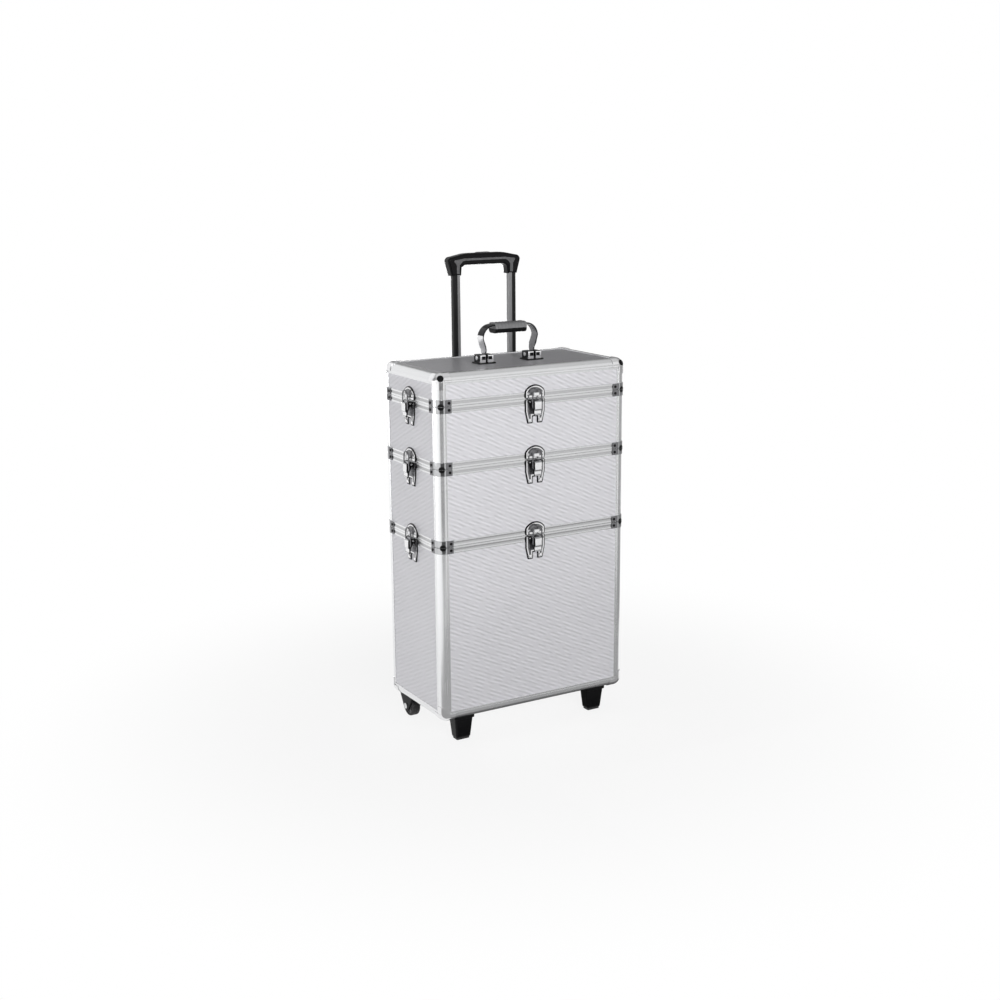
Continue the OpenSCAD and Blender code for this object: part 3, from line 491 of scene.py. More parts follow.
# round bar that goes straight and turns, from a start along a heading
def bentBar(radius, start, heading, moves, sides=14):
    bar = bmesh.new()
    turn = Vector(heading).to_track_quat("Z", "Y").to_matrix().to_4x4()
    bmesh.ops.create_circle(bar, segments=sides, radius=radius, matrix=Matrix.Translation(start) @ turn)
    ring = list(bar.edges)
    for move in moves:
        if "go" in move:
            grown = bmesh.ops.extrude_edge_only(bar, edges=ring)["geom"]
            bmesh.ops.translate(bar, vec=move["go"], verts=only(bmesh.types.BMVert, grown))
        else:
            corners = list({v for e in ring for v in e.verts})
            grown = bmesh.ops.spin(bar, geom=ring + corners, cent=move["about"], axis=move["axis"],
                                   angle=math.radians(move["turn"]), steps=move["steps"])["geom_last"]
        ring = [e for e in only(bmesh.types.BMEdge, grown) if e.is_boundary]
    bmesh.ops.holes_fill(bar, edges=bar.edges, sides=0)
    return facedOut(bar)


# domed head of a rivet or screw, standing on the place it is given
def rivetHead(radius, height, place):
    part = disc(radius, 0, height)
    soften(part, height * 0.75, 4, lambda middle, along: middle.z > height * 0.9)
    return moved(part, place)


# gives a finish to all faces, or to those that pass a test of their normal and middle
def paint(part, finish, test=None):
    part.normal_update()
    for face in part.faces:
        if test is None or test(face.normal, face.calc_center_median()):
            face.material_index = finish
    return part


def gather(piece, part, places, finish=None):
    if finish is not None:
        paint(part, finish)
    mesh = bpy.data.meshes.new("part")
    part.to_mesh(mesh)
    part.free()
    for place in places:
        copy = mesh.copy()
        copy.transform(place)
        if place.determinant() < 0:
            copy.flip_normals()
        piece.from_mesh(copy)
        bpy.data.meshes.remove(copy)
    bpy.data.meshes.remove(mesh)


def makePiece(name, piece, body, finishes, node, sharp=50):
    mesh = bpy.data.meshes.new(name)
    piece.to_mesh(mesh)
    piece.free()
    for finish in finishes:
        mesh.materials.append(finish)
    mesh.shade_smooth()
    mesh.set_sharp_from_angle(angle=math.radians(sharp))
    made = bpy.data.objects.new(name, mesh)
    scene.collection.objects.link(made)
    even = made.modifiers.new("evenShading", "WEIGHTED_NORMAL")
    even.keep_sharp = True
    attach(made, body)
    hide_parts(node)
    return made


# edge rails: a rounded corner with a grooved flange along each face
rail = {
    "round": 13, "roundSteps": 14, "leg": 17, "sheet": 1.2, "tip": 0.35,
    "groove": 14.4, "grooveHalf": 0.45, "grooveDeep": 0.4,
}


def railOutline():
    groove, half, deep = rail["groove"], rail["grooveHalf"], rail["grooveDeep"]
    leg, tip, sheet, bend = rail["leg"], rail["tip"], rail["sheet"], rail["round"]
    flange = [(leg, sheet), (leg, tip), (leg - tip, 0)]
    flange += [(groove + 2 * half, 0), (groove + half, deep), (groove - half, deep), (groove - 2 * half, 0)]
    other = [(y, x) for x, y in reversed(flange)]
    inner = [(sheet, bend), (bend, bend), (bend, sheet)]
    return flange + arc(bend, bend, bend, 270, 180, rail["roundSteps"]) + other + inner


# bars along the four sides at a height: the outline's x runs inwards and its y runs up
def addBars(piece, outline, z, flip, finishes, reach=0, inGroove=None):
    halfX = caseW / 2 - rail["leg"] + reach
    halfY = caseD / 2 - rail["leg"]
    lift = toMetres @ shift(z=z) @ scaleBy(z=flip)
    for side in (-1, 1):
        toFront = shift(y=side * caseD / 2) @ scaleBy(y=-side) @ alongX
        toSide = shift(x=side * caseW / 2) @ scaleBy(x=-side) @ alongY
        for half, place, finish in ((halfX, toFront, finishes[0]), (halfY, toSide, finishes[1])):
            bar = paint(prism(outline, -half, half), finish)
            if inGroove:
                paint(bar, finish + len(finishes), inGroove)
            gather(piece, bar, [lift @ place])


def makeRails(name, node, body, foot=False, crown=False):
    piece = bmesh.new()
    low, high = boxOf(node)
    bend, leg = rail["round"], rail["leg"]
    bottom = low.z + (leg if foot else 0)
    top = high.z - (leg if crown else 0)
    gather(piece, prism(railOutline(), 0, top - bottom), cornerPlaces(bottom), 0)
    for wanted, z, flip in ((foot, low.z, 1), (crown, high.z, -1)):
        if wanted:
            addBars(piece, railOutline(), z, flip, (1, 2), leg - bend)
            patch = block((0, bend, bend), (rail["sheet"], leg, leg))
            gather(piece, patch, cornerPlaces(z, flip), 2)
    makePiece(name, piece, body, [satinUp, satinAcross, satinDeep], node)


makeRails("binRails", "base_edges", "base", foot=True)
makeRails("middleTierPosts", "middle_posts", "middle")
makeRails("upperTierPosts", "upper_posts", "upper")
makeRails("lidRails", "lid_edges", "lid", crown=True)

# rims: a channel over the panels' edges, with a broad groove outside and a tongue or groove at the seam; the
# groove floor and the front and back rims are painted darker as shade
rim = {
    "height": 10.5, "thick": 9.4, "sheet": 1.2, "cap": 4, "tongue": 2.4, "tongueHigh": 2, "play": 0.4,
    "soft": 0.4, "groove": 5.6, "grooveHalf": 2.2, "grooveDeep": 0.5, "grooveSlope": 0.5,
}


def rimOutline(tongued):
    soft, thick, sheet, height = rim["soft"], rim["thick"], rim["sheet"], rim["height"]
    middle = thick / 2
    half = rim["grooveHalf"]
    slope = half - rim["grooveSlope"]
    outside = [(soft, 0), (0, soft), (0, rim["groove"] - half), (rim["grooveDeep"], rim["groove"] - slope)]
    outside += [(rim["grooveDeep"], rim["groove"] + slope), (0, rim["groove"] + half)]
    outside += [(0, height - soft), (soft, height), (sheet, height)]
    channel = [(sheet, rim["cap"]), (thick - sheet, rim["cap"])]
    inside = [(thick - sheet, height), (thick, height), (thick, soft), (thick - soft, 0)]
    half = rim["tongue"] / 2
    tip = -rim["tongueHigh"]
    if not tongued:
        half += rim["play"]
        tip = rim["tongueHigh"] + rim["play"]
    seam = [(middle + half, 0), (middle + half, tip), (middle - half, tip), (middle - half, 0)]
    return outside + channel + inside + seam


# the groove floor faces, painted darker as shade
def inRimGroove(normal, middle):
    inDepth = hair < middle.x < rim["grooveDeep"] + hair
    return inDepth and abs(middle.y - rim["groove"]) < rim["grooveHalf"]


def makeRims(name, node, body, above=None, below=None):
    piece = bmesh.new()
    for z, flip in ((above, 1), (below, -1)):
        if z is not None:
            addBars(piece, rimOutline(flip > 0), z, flip, (0, 1), inGroove=inRimGroove)
    makePiece(name, piece, body, [shadedRimAcross, satinDeep, shadedGrooveAcross, grooveDeep], node)


makeRims("binRim", "base_rim", "base", below=seamLow)
makeRims("middleTierRims", "middle_rims", "middle", above=seamLow, below=seamMid)
makeRims("upperTierRims", "upper_rims", "upper", above=seamMid, below=seamTop)
makeRims("lidRim", "lid_rim", "lid", above=seamTop)
print("rails and rims made")

# corner brackets at the seams, with domed rivets, flanges painted darker as shade and a black half stud on
# the bend
bracket = {
    "sheet": 1.2, "leg": 25, "low": 0.4, "high": 10.5, "soft": 0.3, "darkFrom": 1,
    "rivetIn": 20.5, "rivetRadius": 2.3, "rivetHigh": 1.1,
    "studRadius": 5.2, "studOut": 1.1, "studTurn": 26, "studCut": 0.45, "studSunk": 0.3,
}


def bracketOutline():
    bend, leg, sheet = rail["round"], bracket["leg"], bracket["sheet"]
    outer = arc(bend, bend, bend + sheet, 270, 180, rail["roundSteps"])
    inner = arc(bend, bend, bend + hair, 180, 270, rail["roundSteps"])
    return [(leg, -hair), (leg, -sheet)] + outer + [(-sheet, leg), (-hair, leg)] + inner


# rounded stud facing out of the corner: half of one cut flat at the seam, or a whole one up on a ball
def cornerStud(climb=None):
    part = bmesh.new()
    radius = bracket["studRadius"]
    bend = rail["round"]
    bmesh.ops.create_uvsphere(part, u_segments=32, v_segments=16, radius=radius)
    bmesh.ops.scale(part, vec=(1, bracket["studOut"] / radius, 1), verts=part.verts)
    if climb is None:
        slit(part, (0, 0, bracket["studCut"]), (0, 0, -1), True)
    seat = shift(y=-bend - bracket["sheet"] + bracket["studSunk"])
    tilt = rotate(-(climb or 0), "X")
    turn = rotate(-bracket["studTurn"], "Z")
    return moved(part, shift(bend, bend, -bend if climb else 0) @ turn @ tilt @ seat)


def addBrackets(piece, z, flip):
    places = cornerPlaces(z, flip)
    band = soften(prism(bracketOutline(), bracket["low"], bracket["high"]), bracket["soft"])
    # the flanges past the bend are painted darker as shade
    paint(band, 2, lambda normal, middle: max(middle.x, middle.y) > rail["round"] + bracket["darkFrom"])
    gather(piece, band, places)
    middle = (bracket["low"] + bracket["high"]) / 2
    face = -bracket["sheet"]
    toFront = shift(bracket["rivetIn"], face, middle) @ upright
    toSide = shift(face, bracket["rivetIn"], middle) @ rotate(-90, "Y")
    for spot in (toFront, toSide):
        gather(piece, rivetHead(bracket["rivetRadius"], bracket["rivetHigh"], spot), places, 1)
    gather(piece, cornerStud(), places, 1)


# ball corners: an eighth of a ball with a short shoe over each of the three rails, and on the top ones a
# black stud painted as a dark reflection spot
ball = {"radius": 14.2, "shoe": 12, "shoeSteps": 12, "soft": 0.35, "studClimb": 26}


def eighthBall():
    part = bmesh.new()
    bend = rail["round"]
    bmesh.ops.create_uvsphere(part, u_segments=48, v_segments=24, radius=ball["radius"])
    for outward in ((1, 0, 0), (0, 1, 0), (0, 0, -1)):
        slit(part, (0, 0, 0), outward, True)
    return moved(part, shift(bend, bend, -bend))


def addBallCorners(piece, z, flip):
    places = cornerPlaces(z, flip)
    bend, steps = rail["round"], ball["shoeSteps"]
    gather(piece, eighthBall(), places, 3)
    if flip > 0:
        # black stud painted where the ball shows a dark reflection
        gather(piece, cornerStud(ball["studClimb"]), places[0::2], 1)
    outline = arc(bend, bend, ball["radius"], 270, 180, steps)
    outline += arc(bend, bend, bend + hair, 180, 270, steps)
    down = scaleBy(z=-1)
    for turn in (shift(z=-bend) @ down, shift(x=bend) @ down @ alongX, shift(y=bend) @ down @ alongY):
        shoe = soften(prism(outline, 0, ball["shoe"]), ball["soft"])
        gather(piece, shoe, [place @ turn for place in places], 3)


def makeCorners(name, node, body, above=None, below=None, ballAt=None, ballFlip=1):
    piece = bmesh.new()
    for z, flip in ((above, 1), (below, -1)):
        if z is not None:
            addBrackets(piece, z, flip)
    if ballAt is not None:
        addBallCorners(piece, ballAt, ballFlip)
    makePiece(name, piece, body, [chrome, blackMoulding, paintedMidShade, polished], node)


makeCorners("binCorners", "base_corner_fittings", "base", below=seamLow, ballAt=binLow.z, ballFlip=-1)
makeCorners("middleTierCorners", "middle_corner_fittings", "middle", above=seamLow, below=seamMid)
makeCorners("upperTierCorners", "upper_corner_fittings", "upper", above=seamMid, below=seamTop)
makeCorners("lidCorners", "lid_corner_fittings", "lid", above=seamTop, ballAt=lidTop)
print("corner fittings made")

# draw latches, drawn at the seam with x across, z up and the front at -y
latch = {
    "width": 37, "strikeHigh": 22, "shoulder": 12, "baseHigh": 40, "sheet": 1.5, "seamGap": 1,
    "border": 2.1, "seamBorder": 0.8, "land": 1.9, "panel": 0.3, "panelRound": 0.7,
    "corner": 1.6, "rolled": 1.2, "legGap": 4, "legHigh": 11, "footIn": 4.5,
    "pivotOut": 5.2, "pivotDrop": 4, "pivotRadius": 1.4, "pinProud": 0.7, "pinSoft": 0.5,
    "earIn": 10, "earThick": 2, "earRadius": 2.6, "earBelow": 4.2, "earAbove": 3, "earSoft": 0.3,
    "rivetIn": 9.75, "rivetUp": 5.5, "rivetRadius": 3, "rivetHigh": 1.4, "packing": 1.2, "packingFrom": 10.7,
    "nose": ((-5.5, -6.7, 4), (5.5, -1.0, 10)), "noseRound": 1.1,
    "strikeRivetIn": 6, "strikeRivetUp": 8, "strikeRivetRadius": 2.3, "strikeRivetHigh": 1.2,
}
latchSides = {
    "front": shift(y=-caseD / 2),
    "left": shift(x=-caseW / 2) @ rotate(-90, "Z"),
    "right": shift(x=caseW / 2) @ rotate(90, "Z"),
}
latchSeams = {"low": seamLow, "mid": seamMid, "top": seamTop}


def latchPlaces(seam):
    return [toMetres @ shift(z=seam) @ side for side in latchSides.values()]


def baseOutline():
    half, high, gap = latch["width"] / 2, latch["baseHigh"], latch["legGap"]
    foot = half - latch["footIn"]
    notch = latch["legHigh"] - high
    right = [(half, -latch["seamGap"]), (half, -high / 2), (foot, -high), (gap, -high), (gap, notch)]
    return [(-x, y) for x, y in right] + list(reversed(right))


def strikeOutline():
    half = latch["width"] / 2
    crown = latch["strikeHigh"] - latch["shoulder"]
    radius = (half * half + crown * crown) / (2 * crown)
    spread = math.degrees(math.asin(half / radius))
    top = arc(0, latch["strikeHigh"] - radius, radius, 90 - spread, 90 + spread, 18)
    return [(-half, latch["seamGap"]), (half, latch["seamGap"])] + top


def earOutline():
    out, drop, radius = -latch["pivotOut"], -latch["pivotDrop"], latch["earRadius"]
    foot = [(0, drop - latch["earBelow"]), (0, drop + latch["earAbove"])]
    return [(out, drop - radius)] + foot + [(out, drop + radius)] + arc(out, drop, radius, 105, 255, 10)


# the outline moved inwards by a distance, corner for corner
def inward(outline, distance):
    inside = []
    points = [Vector(point) for point in outline]
    for before, here, after in zip(points[-1:] + points[:-1], points, points[1:] + points[:1]):
        lean = (here - before).normalized().orthogonal() + (after - here).normalized().orthogonal()
        inside.append(tuple(here + lean * (2 * distance / lean.length_squared)))
    return inside


# plate with a rolled edge painted dark as shade, a bright panel that runs out to the seam, and a darker
# panel on it painted as shade
def addPressedPlate(piece, outline, places):
    top = latch["sheet"]
    upPlaces = [place @ upright for place in places]
    part = soften(prism(outline, 0, top), latch["corner"], 4, standing, 20)
    soften(part, latch["rolled"], 5, lambda middle, along: middle.z > 0.9 * top)
    gather(piece, part, upPlaces, 1)
    bright = []
    for x, y in inward(outline, latch["border"]):
        if abs(y) < latch["seamGap"] + latch["border"] + hair:
            y = math.copysign(latch["seamGap"] + latch["seamBorder"], y)
        bright.append((x, y))
    darker = inward(outline, latch["border"] + latch["land"])
    for shape, proud, finish in ((bright, latch["panel"] / 2, 0), (darker, latch["panel"], 2)):
        panel = prism(shape, top - latch["panel"], top + proud)
        soften(panel, latch["panelRound"], 3, standing, 20)
        soften(panel, proud / 2, 2, lambda middle, along: middle.z > top)
        gather(piece, panel, upPlaces, finish)


def addPacking(piece, outline, places):
    gather(piece, moved(prism(outline, -latch["packing"], 0), upright), places)


def addLatchBases(piece, seam):
    places = latchPlaces(seam)
    addPressedPlate(piece, baseOutline(), places)
    addPacking(piece, [(x, min(y, -latch["packingFrom"])) for x, y in baseOutline()], places)
    for side in (-1, 1):
        # the ears are painted dark as shade
        ear = soften(prism(earOutline(), 0, latch["earThick"]), latch["earSoft"])
        inner = latch["earIn"] if side > 0 else -latch["earIn"] - latch["earThick"]
        gather(piece, moved(ear, shift(x=inner) @ alongX), places, 1)
        up = latch["rivetUp"] - latch["baseHigh"]
        spot = shift(side * latch["rivetIn"], -latch["sheet"], up) @ upright
        gather(piece, rivetHead(latch["rivetRadius"], latch["rivetHigh"], spot), places)
    half = latch["earIn"] + latch["earThick"] + latch["pinProud"]
    pin = soften(disc(latch["pivotRadius"], -half, half), latch["pinSoft"], 3)
    gather(piece, moved(pin, shift(0, -latch["pivotOut"], -latch["pivotDrop"]) @ lieAcross), places)


def addLatchStrikes(piece, seam):
    places = latchPlaces(seam)
    addPressedPlate(piece, strikeOutline(), places)
    addPacking(piece, [(x, max(y, latch["packingFrom"])) for x, y in strikeOutline()], places)
    gather(piece, soften(block(*latch["nose"]), latch["noseRound"], 4), places)
    for side in (-1, 1):
        out = side * (latch["width"] / 2 - latch["strikeRivetIn"])
        spot = shift(out, -latch["sheet"], latch["strikeRivetUp"]) @ upright
        gather(piece, rivetHead(latch["strikeRivetRadius"], latch["strikeRivetHigh"], spot), places)


def makeLatchPlates(name, node, body, strikesAt=None, basesAt=None):
    piece = bmesh.new()
    if strikesAt is not None:
        addLatchStrikes(piece, strikesAt)
    if basesAt is not None:
        addLatchBases(piece, basesAt)
    makePiece(name, piece, body, [polished, paintedDarkShade, paintedMidShade], node, 24)


makeLatchPlates("binLatchPlates", "base_latch_plates", "base", basesAt=seamLow)
makeLatchPlates("middleTierLatchPlates", "middle_latch_plates", "middle", seamLow, seamMid)
makeLatchPlates("upperTierLatchPlates", "upper_latch_plates", "upper", seamMid, seamTop)
makeLatchPlates("lidStrikePlates", "lid_strikes", "lid", strikesAt=seamTop)

# lever: a thick knuckle, a proud square face, a step and a finger lip; its sides are painted dark as shade
# and its front faces take the brighter plating as a painted highlight
lever = {
    "half": 6.5, "front": 11.6, "top": -3.2, "topRound": (0.6, 1), "faceLow": -16.6,
    "stepDeep": 1.8, "stepLow": -18.6, "foot": -26, "lipHigh": 2.4, "lipTip": (0.2, 0.9), "lipFoot": 0.9,
    "heel": 0.4, "back": 1.6, "neck": 0.4, "seat": 4, "knuckle": 3.3, "loopOut": 8.2, "loopDrop": 14,
    "soft": 0.45, "border": 1.3, "padHigh": 0.35,
}


def leverOutline():
    face, top, foot = -lever["front"], lever["top"], lever["foot"]
    step = face + lever["stepDeep"]
    loopY, loopZ = -lever["loopOut"], -lever["loopDrop"]
    out, drop, knuckle = -latch["pivotOut"], -latch["pivotDrop"], lever["knuckle"]
    roundIn, roundDown = lever["topRound"]
    tipIn, tipUp = lever["lipTip"]
    front = [(face + roundIn, top), (face, top - roundDown)]
    front += [(face, lever["faceLow"]), (step, lever["stepLow"])]
    lip = [(step, foot + lever["lipHigh"]), (face + tipIn, foot + tipUp), (face + lever["lipFoot"], foot)]
    back = [(loopY + lever["heel"], foot), (loopY + lever["back"], loopZ - lever["seat"])]
    neck = [(out + knuckle - lever["neck"], loopZ + lever["seat"])]
    return front + lip + back + neck + arc(out, drop, knuckle, -40, 90, 8)


def makeLever(seam, side, place):
    piece = bmesh.new()
    part = facedOut(moved(prism(leverOutline(), -lever["half"], lever["half"]), alongX))
    face = max((f for f in part.faces if f.normal.y < -0.99), key=lambda f: f.calc_area())
    sink(part, face, lever["border"], -lever["padHigh"])
    soften(part, lever["soft"], 3, sharp=28)
    # sides painted dark as shade, front faces in the brighter plating as a painted highlight
    paint(part, 1, lambda normal, middle: abs(normal.x) > 0.7)
    paint(part, 2, lambda normal, middle: normal.y < -0.9)
    gather(piece, part, [place])
    makePiece("%s%sLever" % (seam, side.title()), piece, "%s_%s_lever" % (seam, side),
              [chrome, paintedDarkShade, polished], "lever_%s_%s" % (seam, side))


# loop: one bent wire, its two ends turning in the lever, painted mid-grey as shade
loop = {"wire": 1.15, "arm": 8.2, "rise": 17, "pinIn": 4.2, "corner": 1.6}


def makeLoop(seam, side, place):
    piece = bmesh.new()
    y, z = -lever["loopOut"], -lever["loopDrop"]
    arm, corner = loop["arm"], loop["corner"]
    archZ = loop["rise"] - loop["wire"] - arm
    climb = archZ - z - corner
    end = {"go": (arm - corner - loop["pinIn"], 0, 0)}
    bend = {"axis": (0, -1, 0), "turn": 90, "steps": 6}
    moves = [
        end,
        {**bend, "about": (arm - corner, y, z + corner)},
        {"go": (0, 0, climb)},
        {**bend, "about": (0, y, archZ), "turn": 180, "steps": 28},
        {"go": (0, 0, -climb)},
        {**bend, "about": (-arm + corner, y, z + corner)},
        end,
    ]
    gather(piece, bentBar(loop["wire"], (loop["pinIn"], y, z), (1, 0, 0), moves), [place])
    makePiece("%s%sLoop" % (seam, side.title()), piece, "%s_%s_loop" % (seam, side),
              [paintedMidShade], "loop_%s_%s" % (seam, side))


for seam, height in latchSeams.items():
    for side, place in zip(latchSides, latchPlaces(height)):
        makeLever(seam, side, place)
        makeLoop(seam, side, place)
print("latches made")

# carry handle: two saddles on the lid, a bent strap and a ribbed grip, drawn from the lid's top
handle = {
    "span": 90, "saddleWide": 26, "saddleDeep": 20, "saddleHigh": 13.5, "sunk": 1, "slotHalf": 1.5,
    "foot": 3, "footThick": 1, "footRound": 2.5, "footSoft": 0.5, "webHalf": 2, "webHigh": 2,
    "pivotHigh": 8, "pinRadius": 2.5, "headRadius": 3.6, "headHigh": 0.9, "pocketIn": 2.2, "pocketDeep": 1.2,
    "soft": 1.1, "windowHalf": 9.5, "windowFrom": 5.5, "windowTo": 11, "windowEdge": 0.3, "windowDeep": 0.9,
    "darkBelow": 0.2,
}
handleY = sum(corner.y for corner in boxOf("handle_brackets")) / 2
lidFace = toMetres @ shift(0, handleY, lidTop)


# one half of a saddle, to the right of the strap's slot, with a pocket on top, its sides and shallow windows
# painted dark as shade
def saddleHalf():
    wide, deep, high = handle["saddleWide"] / 2, handle["saddleDeep"] / 2, handle["saddleHigh"]
    low, top = handle["windowFrom"], handle["windowTo"]
    part = block((handle["slotHalf"], -deep, -handle["sunk"]), (wide, deep, high))
    sink(part, topFace(part), handle["pocketIn"], handle["pocketDeep"])
    soften(part, handle["soft"], 3)
    slit(part, (handle["windowHalf"], 0, 0), (1, 0, 0))
    for z in (low, top):
        slit(part, (0, 0, z), (0, 0, 1))

    def inWindow(middle):
        return middle.x < handle["windowHalf"] and low < middle.z < top

    for face in [f for f in part.faces if abs(f.normal.y) > 0.99 and inWindow(f.calc_center_median())]:
        sink(part, face, handle["windowEdge"], handle["windowDeep"])
    # the pocket, the sides and the windows are painted dark as shade
    paint(part, 1, lambda normal, middle: normal.z > 0.5 and middle.z < high - handle["darkBelow"])
    paint(part, 1, lambda normal, middle: abs(normal.x) > 0.7)
    paint(part, 1, lambda normal, middle: inWindow(middle) and abs(middle.y) < deep - handle["darkBelow"])
    return part


def makeSaddles():
    piece = bmesh.new()
    places = [lidFace @ shift(x=side * handle["span"] / 2) for side in (-1, 1)]
    mirrored = places + [place @ scaleBy(x=-1) for place in places]
    half, deep, sunk = handle["saddleWide"] / 2, handle["saddleDeep"] / 2, handle["sunk"]
    footX, footY = half + handle["foot"], deep + handle["foot"]
    plate = block((-footX, -footY, -sunk), (footX, footY, handle["footThick"]))
    soften(plate, handle["footRound"], 4, standing)
    soften(plate, handle["footSoft"], 3, lambda middle, along: middle.z > handle["footThick"] / 2)
    # the foot plate is painted dark as the shade under the saddle
    gather(piece, plate, places, 1)
    gather(piece, saddleHalf(), mirrored)
    # the web in the slot is painted dark as shade
    web = block((-handle["webHalf"], sunk - deep, 0), (handle["webHalf"], deep - sunk, handle["webHigh"]))
    gather(piece, web, places, 1)
    pin = disc(handle["pinRadius"], sunk - half, half - sunk, 32)
    gather(piece, moved(pin, shift(z=handle["pivotHigh"]) @ lieAcross), places)
    spot = shift(half, 0, handle["pivotHigh"]) @ lieAcross
    gather(piece, rivetHead(handle["headRadius"], handle["headHigh"], spot), mirrored)
    makePiece("handleSaddles", piece, "lid", [polished, paintedDarkShade], "handle_brackets")


# strap: a flat band bent over the grip, its legs narrowing to an eye on each pin; its edges and the top of
# its bend are painted dark as reflection, its inner faces and underside painted mid-grey as shade
strap = {
    "thick": 2.2, "wide": 18, "bend": 22, "bendSteps": 14, "flare": 7, "knee": 12, "taper": 18, "eye": 5.5,
    "eyeCuts": (-0.9, -0.7, -0.4, 0), "top": 60.5, "soft": 0.5, "darkFrom": 6,
}


def strapOutline():
    bend, thick, steps = strap["bend"], strap["thick"], strap["bendSteps"]
    bendX = handle["span"] / 2 + strap["flare"] - bend
    bendZ = strap["top"] - bend
    legX = (handle["span"] + thick) / 2
    knee = handle["pivotHigh"] + strap["knee"]
    low = handle["pivotHigh"] - strap["eye"]
    outer = [(legX, low), (legX, knee)] + arc(bendX, bendZ, bend, 0, 90, steps)
    inner = arc(bendX, bendZ, bend - thick, 90, 0, steps) + [(legX - thick, knee), (legX - thick, low)]
    return bothSides(outer) + [(-x, z) for x, z in reversed(inner)] + inner


# half of the strap's width at a height: round about the pin, then widening up the leg
def strapHalf(z):
    up = z - handle["pivotHigh"]
    if up < 0:
        return math.sqrt(max(strap["eye"] ** 2 - up ** 2, 1.0))
    return strap["eye"] + (strap["wide"] / 2 - strap["eye"]) * min(1.0, up / strap["taper"])


def makeStrap():
    piece = bmesh.new()
    half = strap["wide"] / 2
    part = moved(prism(strapOutline(), -half, half), upright)
    for rise in [share * strap["eye"] for share in strap["eyeCuts"]] + [strap["taper"]]:
        slit(part, (0, 0, handle["pivotHigh"] + rise), (0, 0, 1))
    for v in part.verts:
        v.co.y *= strapHalf(v.co.z) / half
    soften(part, strap["soft"])
    # edges and the top of the bend are painted dark as reflection; inner faces and underside painted
    # mid-grey as shade
    darkFrom = strap["top"] - strap["bend"] + strap["darkFrom"]
    paint(part, 1, lambda normal, middle: abs(normal.y) > 0.7 or middle.z > darkFrom)
    paint(part, 2, lambda normal, middle: math.copysign(1, middle.x) * normal.x < -0.5 or normal.z < -0.5)
    gather(piece, part, [lidFace])
    makePiece("handleStrap", piece, "carry_handle", [polished, paintedDarkShade, paintedMidShade], "handle_strap")


# grip: a rounded bar with collars at its ends, shallow ribs between them and its lower part painted black as
# shade
grip = {
    "long": 58, "deep": 24, "thick": 17, "rise": 63, "ribs": 8, "ribHalf": 0.5, "ribDeep": 0.5,
    "collar": 5, "round": 6.0, "endSoft": 0.8, "shadeFrom": 1.2,
}


def makeGrip():
    piece = bmesh.new()
    half, deep, thick = grip["long"] / 2, grip["deep"] / 2, grip["thick"] / 2
    part = block((-half, -deep, -thick), (half, deep, thick))
    soften(part, grip["round"], 8, lambda middle, along: abs(along.normalized().x) > 0.9)
    slit(part, (0, 0, -grip["shadeFrom"]), (0, 0, 1))
    first = grip["collar"] - half
    pitch = -2 * first / grip["ribs"]
    grooves = [first + pitch * k for k in range(grip["ribs"] + 1)]
    for x in grooves:
        for edge in (x - grip["ribHalf"], x + grip["ribHalf"]):
            slit(part, (edge, 0, 0), (1, 0, 0))
    # the faces between two slits get a ring of points, which is then drawn in
    wide = grip["ribHalf"]
    around = [e for e in part.edges if abs(e.verts[0].co.x - e.verts[1].co.x) > 1.8 * wide]
    around = [e for e in around if any(abs(e.verts[0].co.x - x) < 1.2 * wide for x in grooves)]
    middles = bmesh.ops.subdivide_edges(part, edges=around, cuts=1)["geom_inner"]
    for v in only(bmesh.types.BMVert, middles):
        v.co.y *= 1 - grip["ribDeep"] / deep
        v.co.z *= 1 - grip["ribDeep"] / thick
    soften(part, grip["endSoft"], 3, lambda middle, along: abs(abs(middle.x) - half) < hair)
    # lower part painted black as the grip's shade
    paint(part, 1, lambda normal, middle: middle.z < -grip["shadeFrom"])
    gather(piece, part, [lidFace @ shift(z=grip["rise"] - thick)])
    finishes = [greyMoulding, blackMoulding]
    makePiece("handleGrip", piece, "carry_handle", finishes, "handle_grip", 40)


makeSaddles()
makeStrap()
makeGrip()
print("carry handle made")

# trolley handle behind the case: the grip's corners are offsets from its sleeves and its ends
trolley = {
    "crotch": ((-7, 0), (-1.2, -4)), "shoulder": ((-30, -0.6), (-38, 0)), "shoulderDrop": 5, "endRound": 8,
    "bar": 19, "sleeve": 17, "sleeveWall": 2, "soft": 3.6,
    "inlayHigh": 0.5, "inlaySoft": 0.4, "inlayTop": 8, "inlayLow": 11.6, "inlayIn": 2, "inlayFoot": 3,
    "inlayOuter": ((4.5, -1.5), (0.5, -6.5)), "inlayInner": ((0, -7.5), (-6, -1), (-12, 0)),
    "inlayShoulder": (-10, -2.5), "tubeWide": 14, "tubeRound": 2.5, "flute": 1.1, "fluteDeep": 0.5,
    "outerRound": 3, "outerWall": 1.2, "outerFloor": 3,
    "bushWide": 1.2, "bushDeep": 0.8, "bushRound": 3.2, "bushLow": 9, "bushHigh": 1.2, "bushWall": 1.9,
    "bushSoft": 0.35,
}
gripLow, gripHigh = boxOf("trolley_grip")
tubeLow, tubeHigh = boxOf("trolley_tubes")
outerLow, outerHigh = boxOf("trolley_outer_tubes")
trolleyX = (gripLow.x + gripHigh.x) / 2
tubeY = (tubeLow.y + tubeHigh.y) / 2
tubeWide = trolley["tubeWide"]
tubeSpan = tubeHigh.x - tubeLow.x - tubeWide


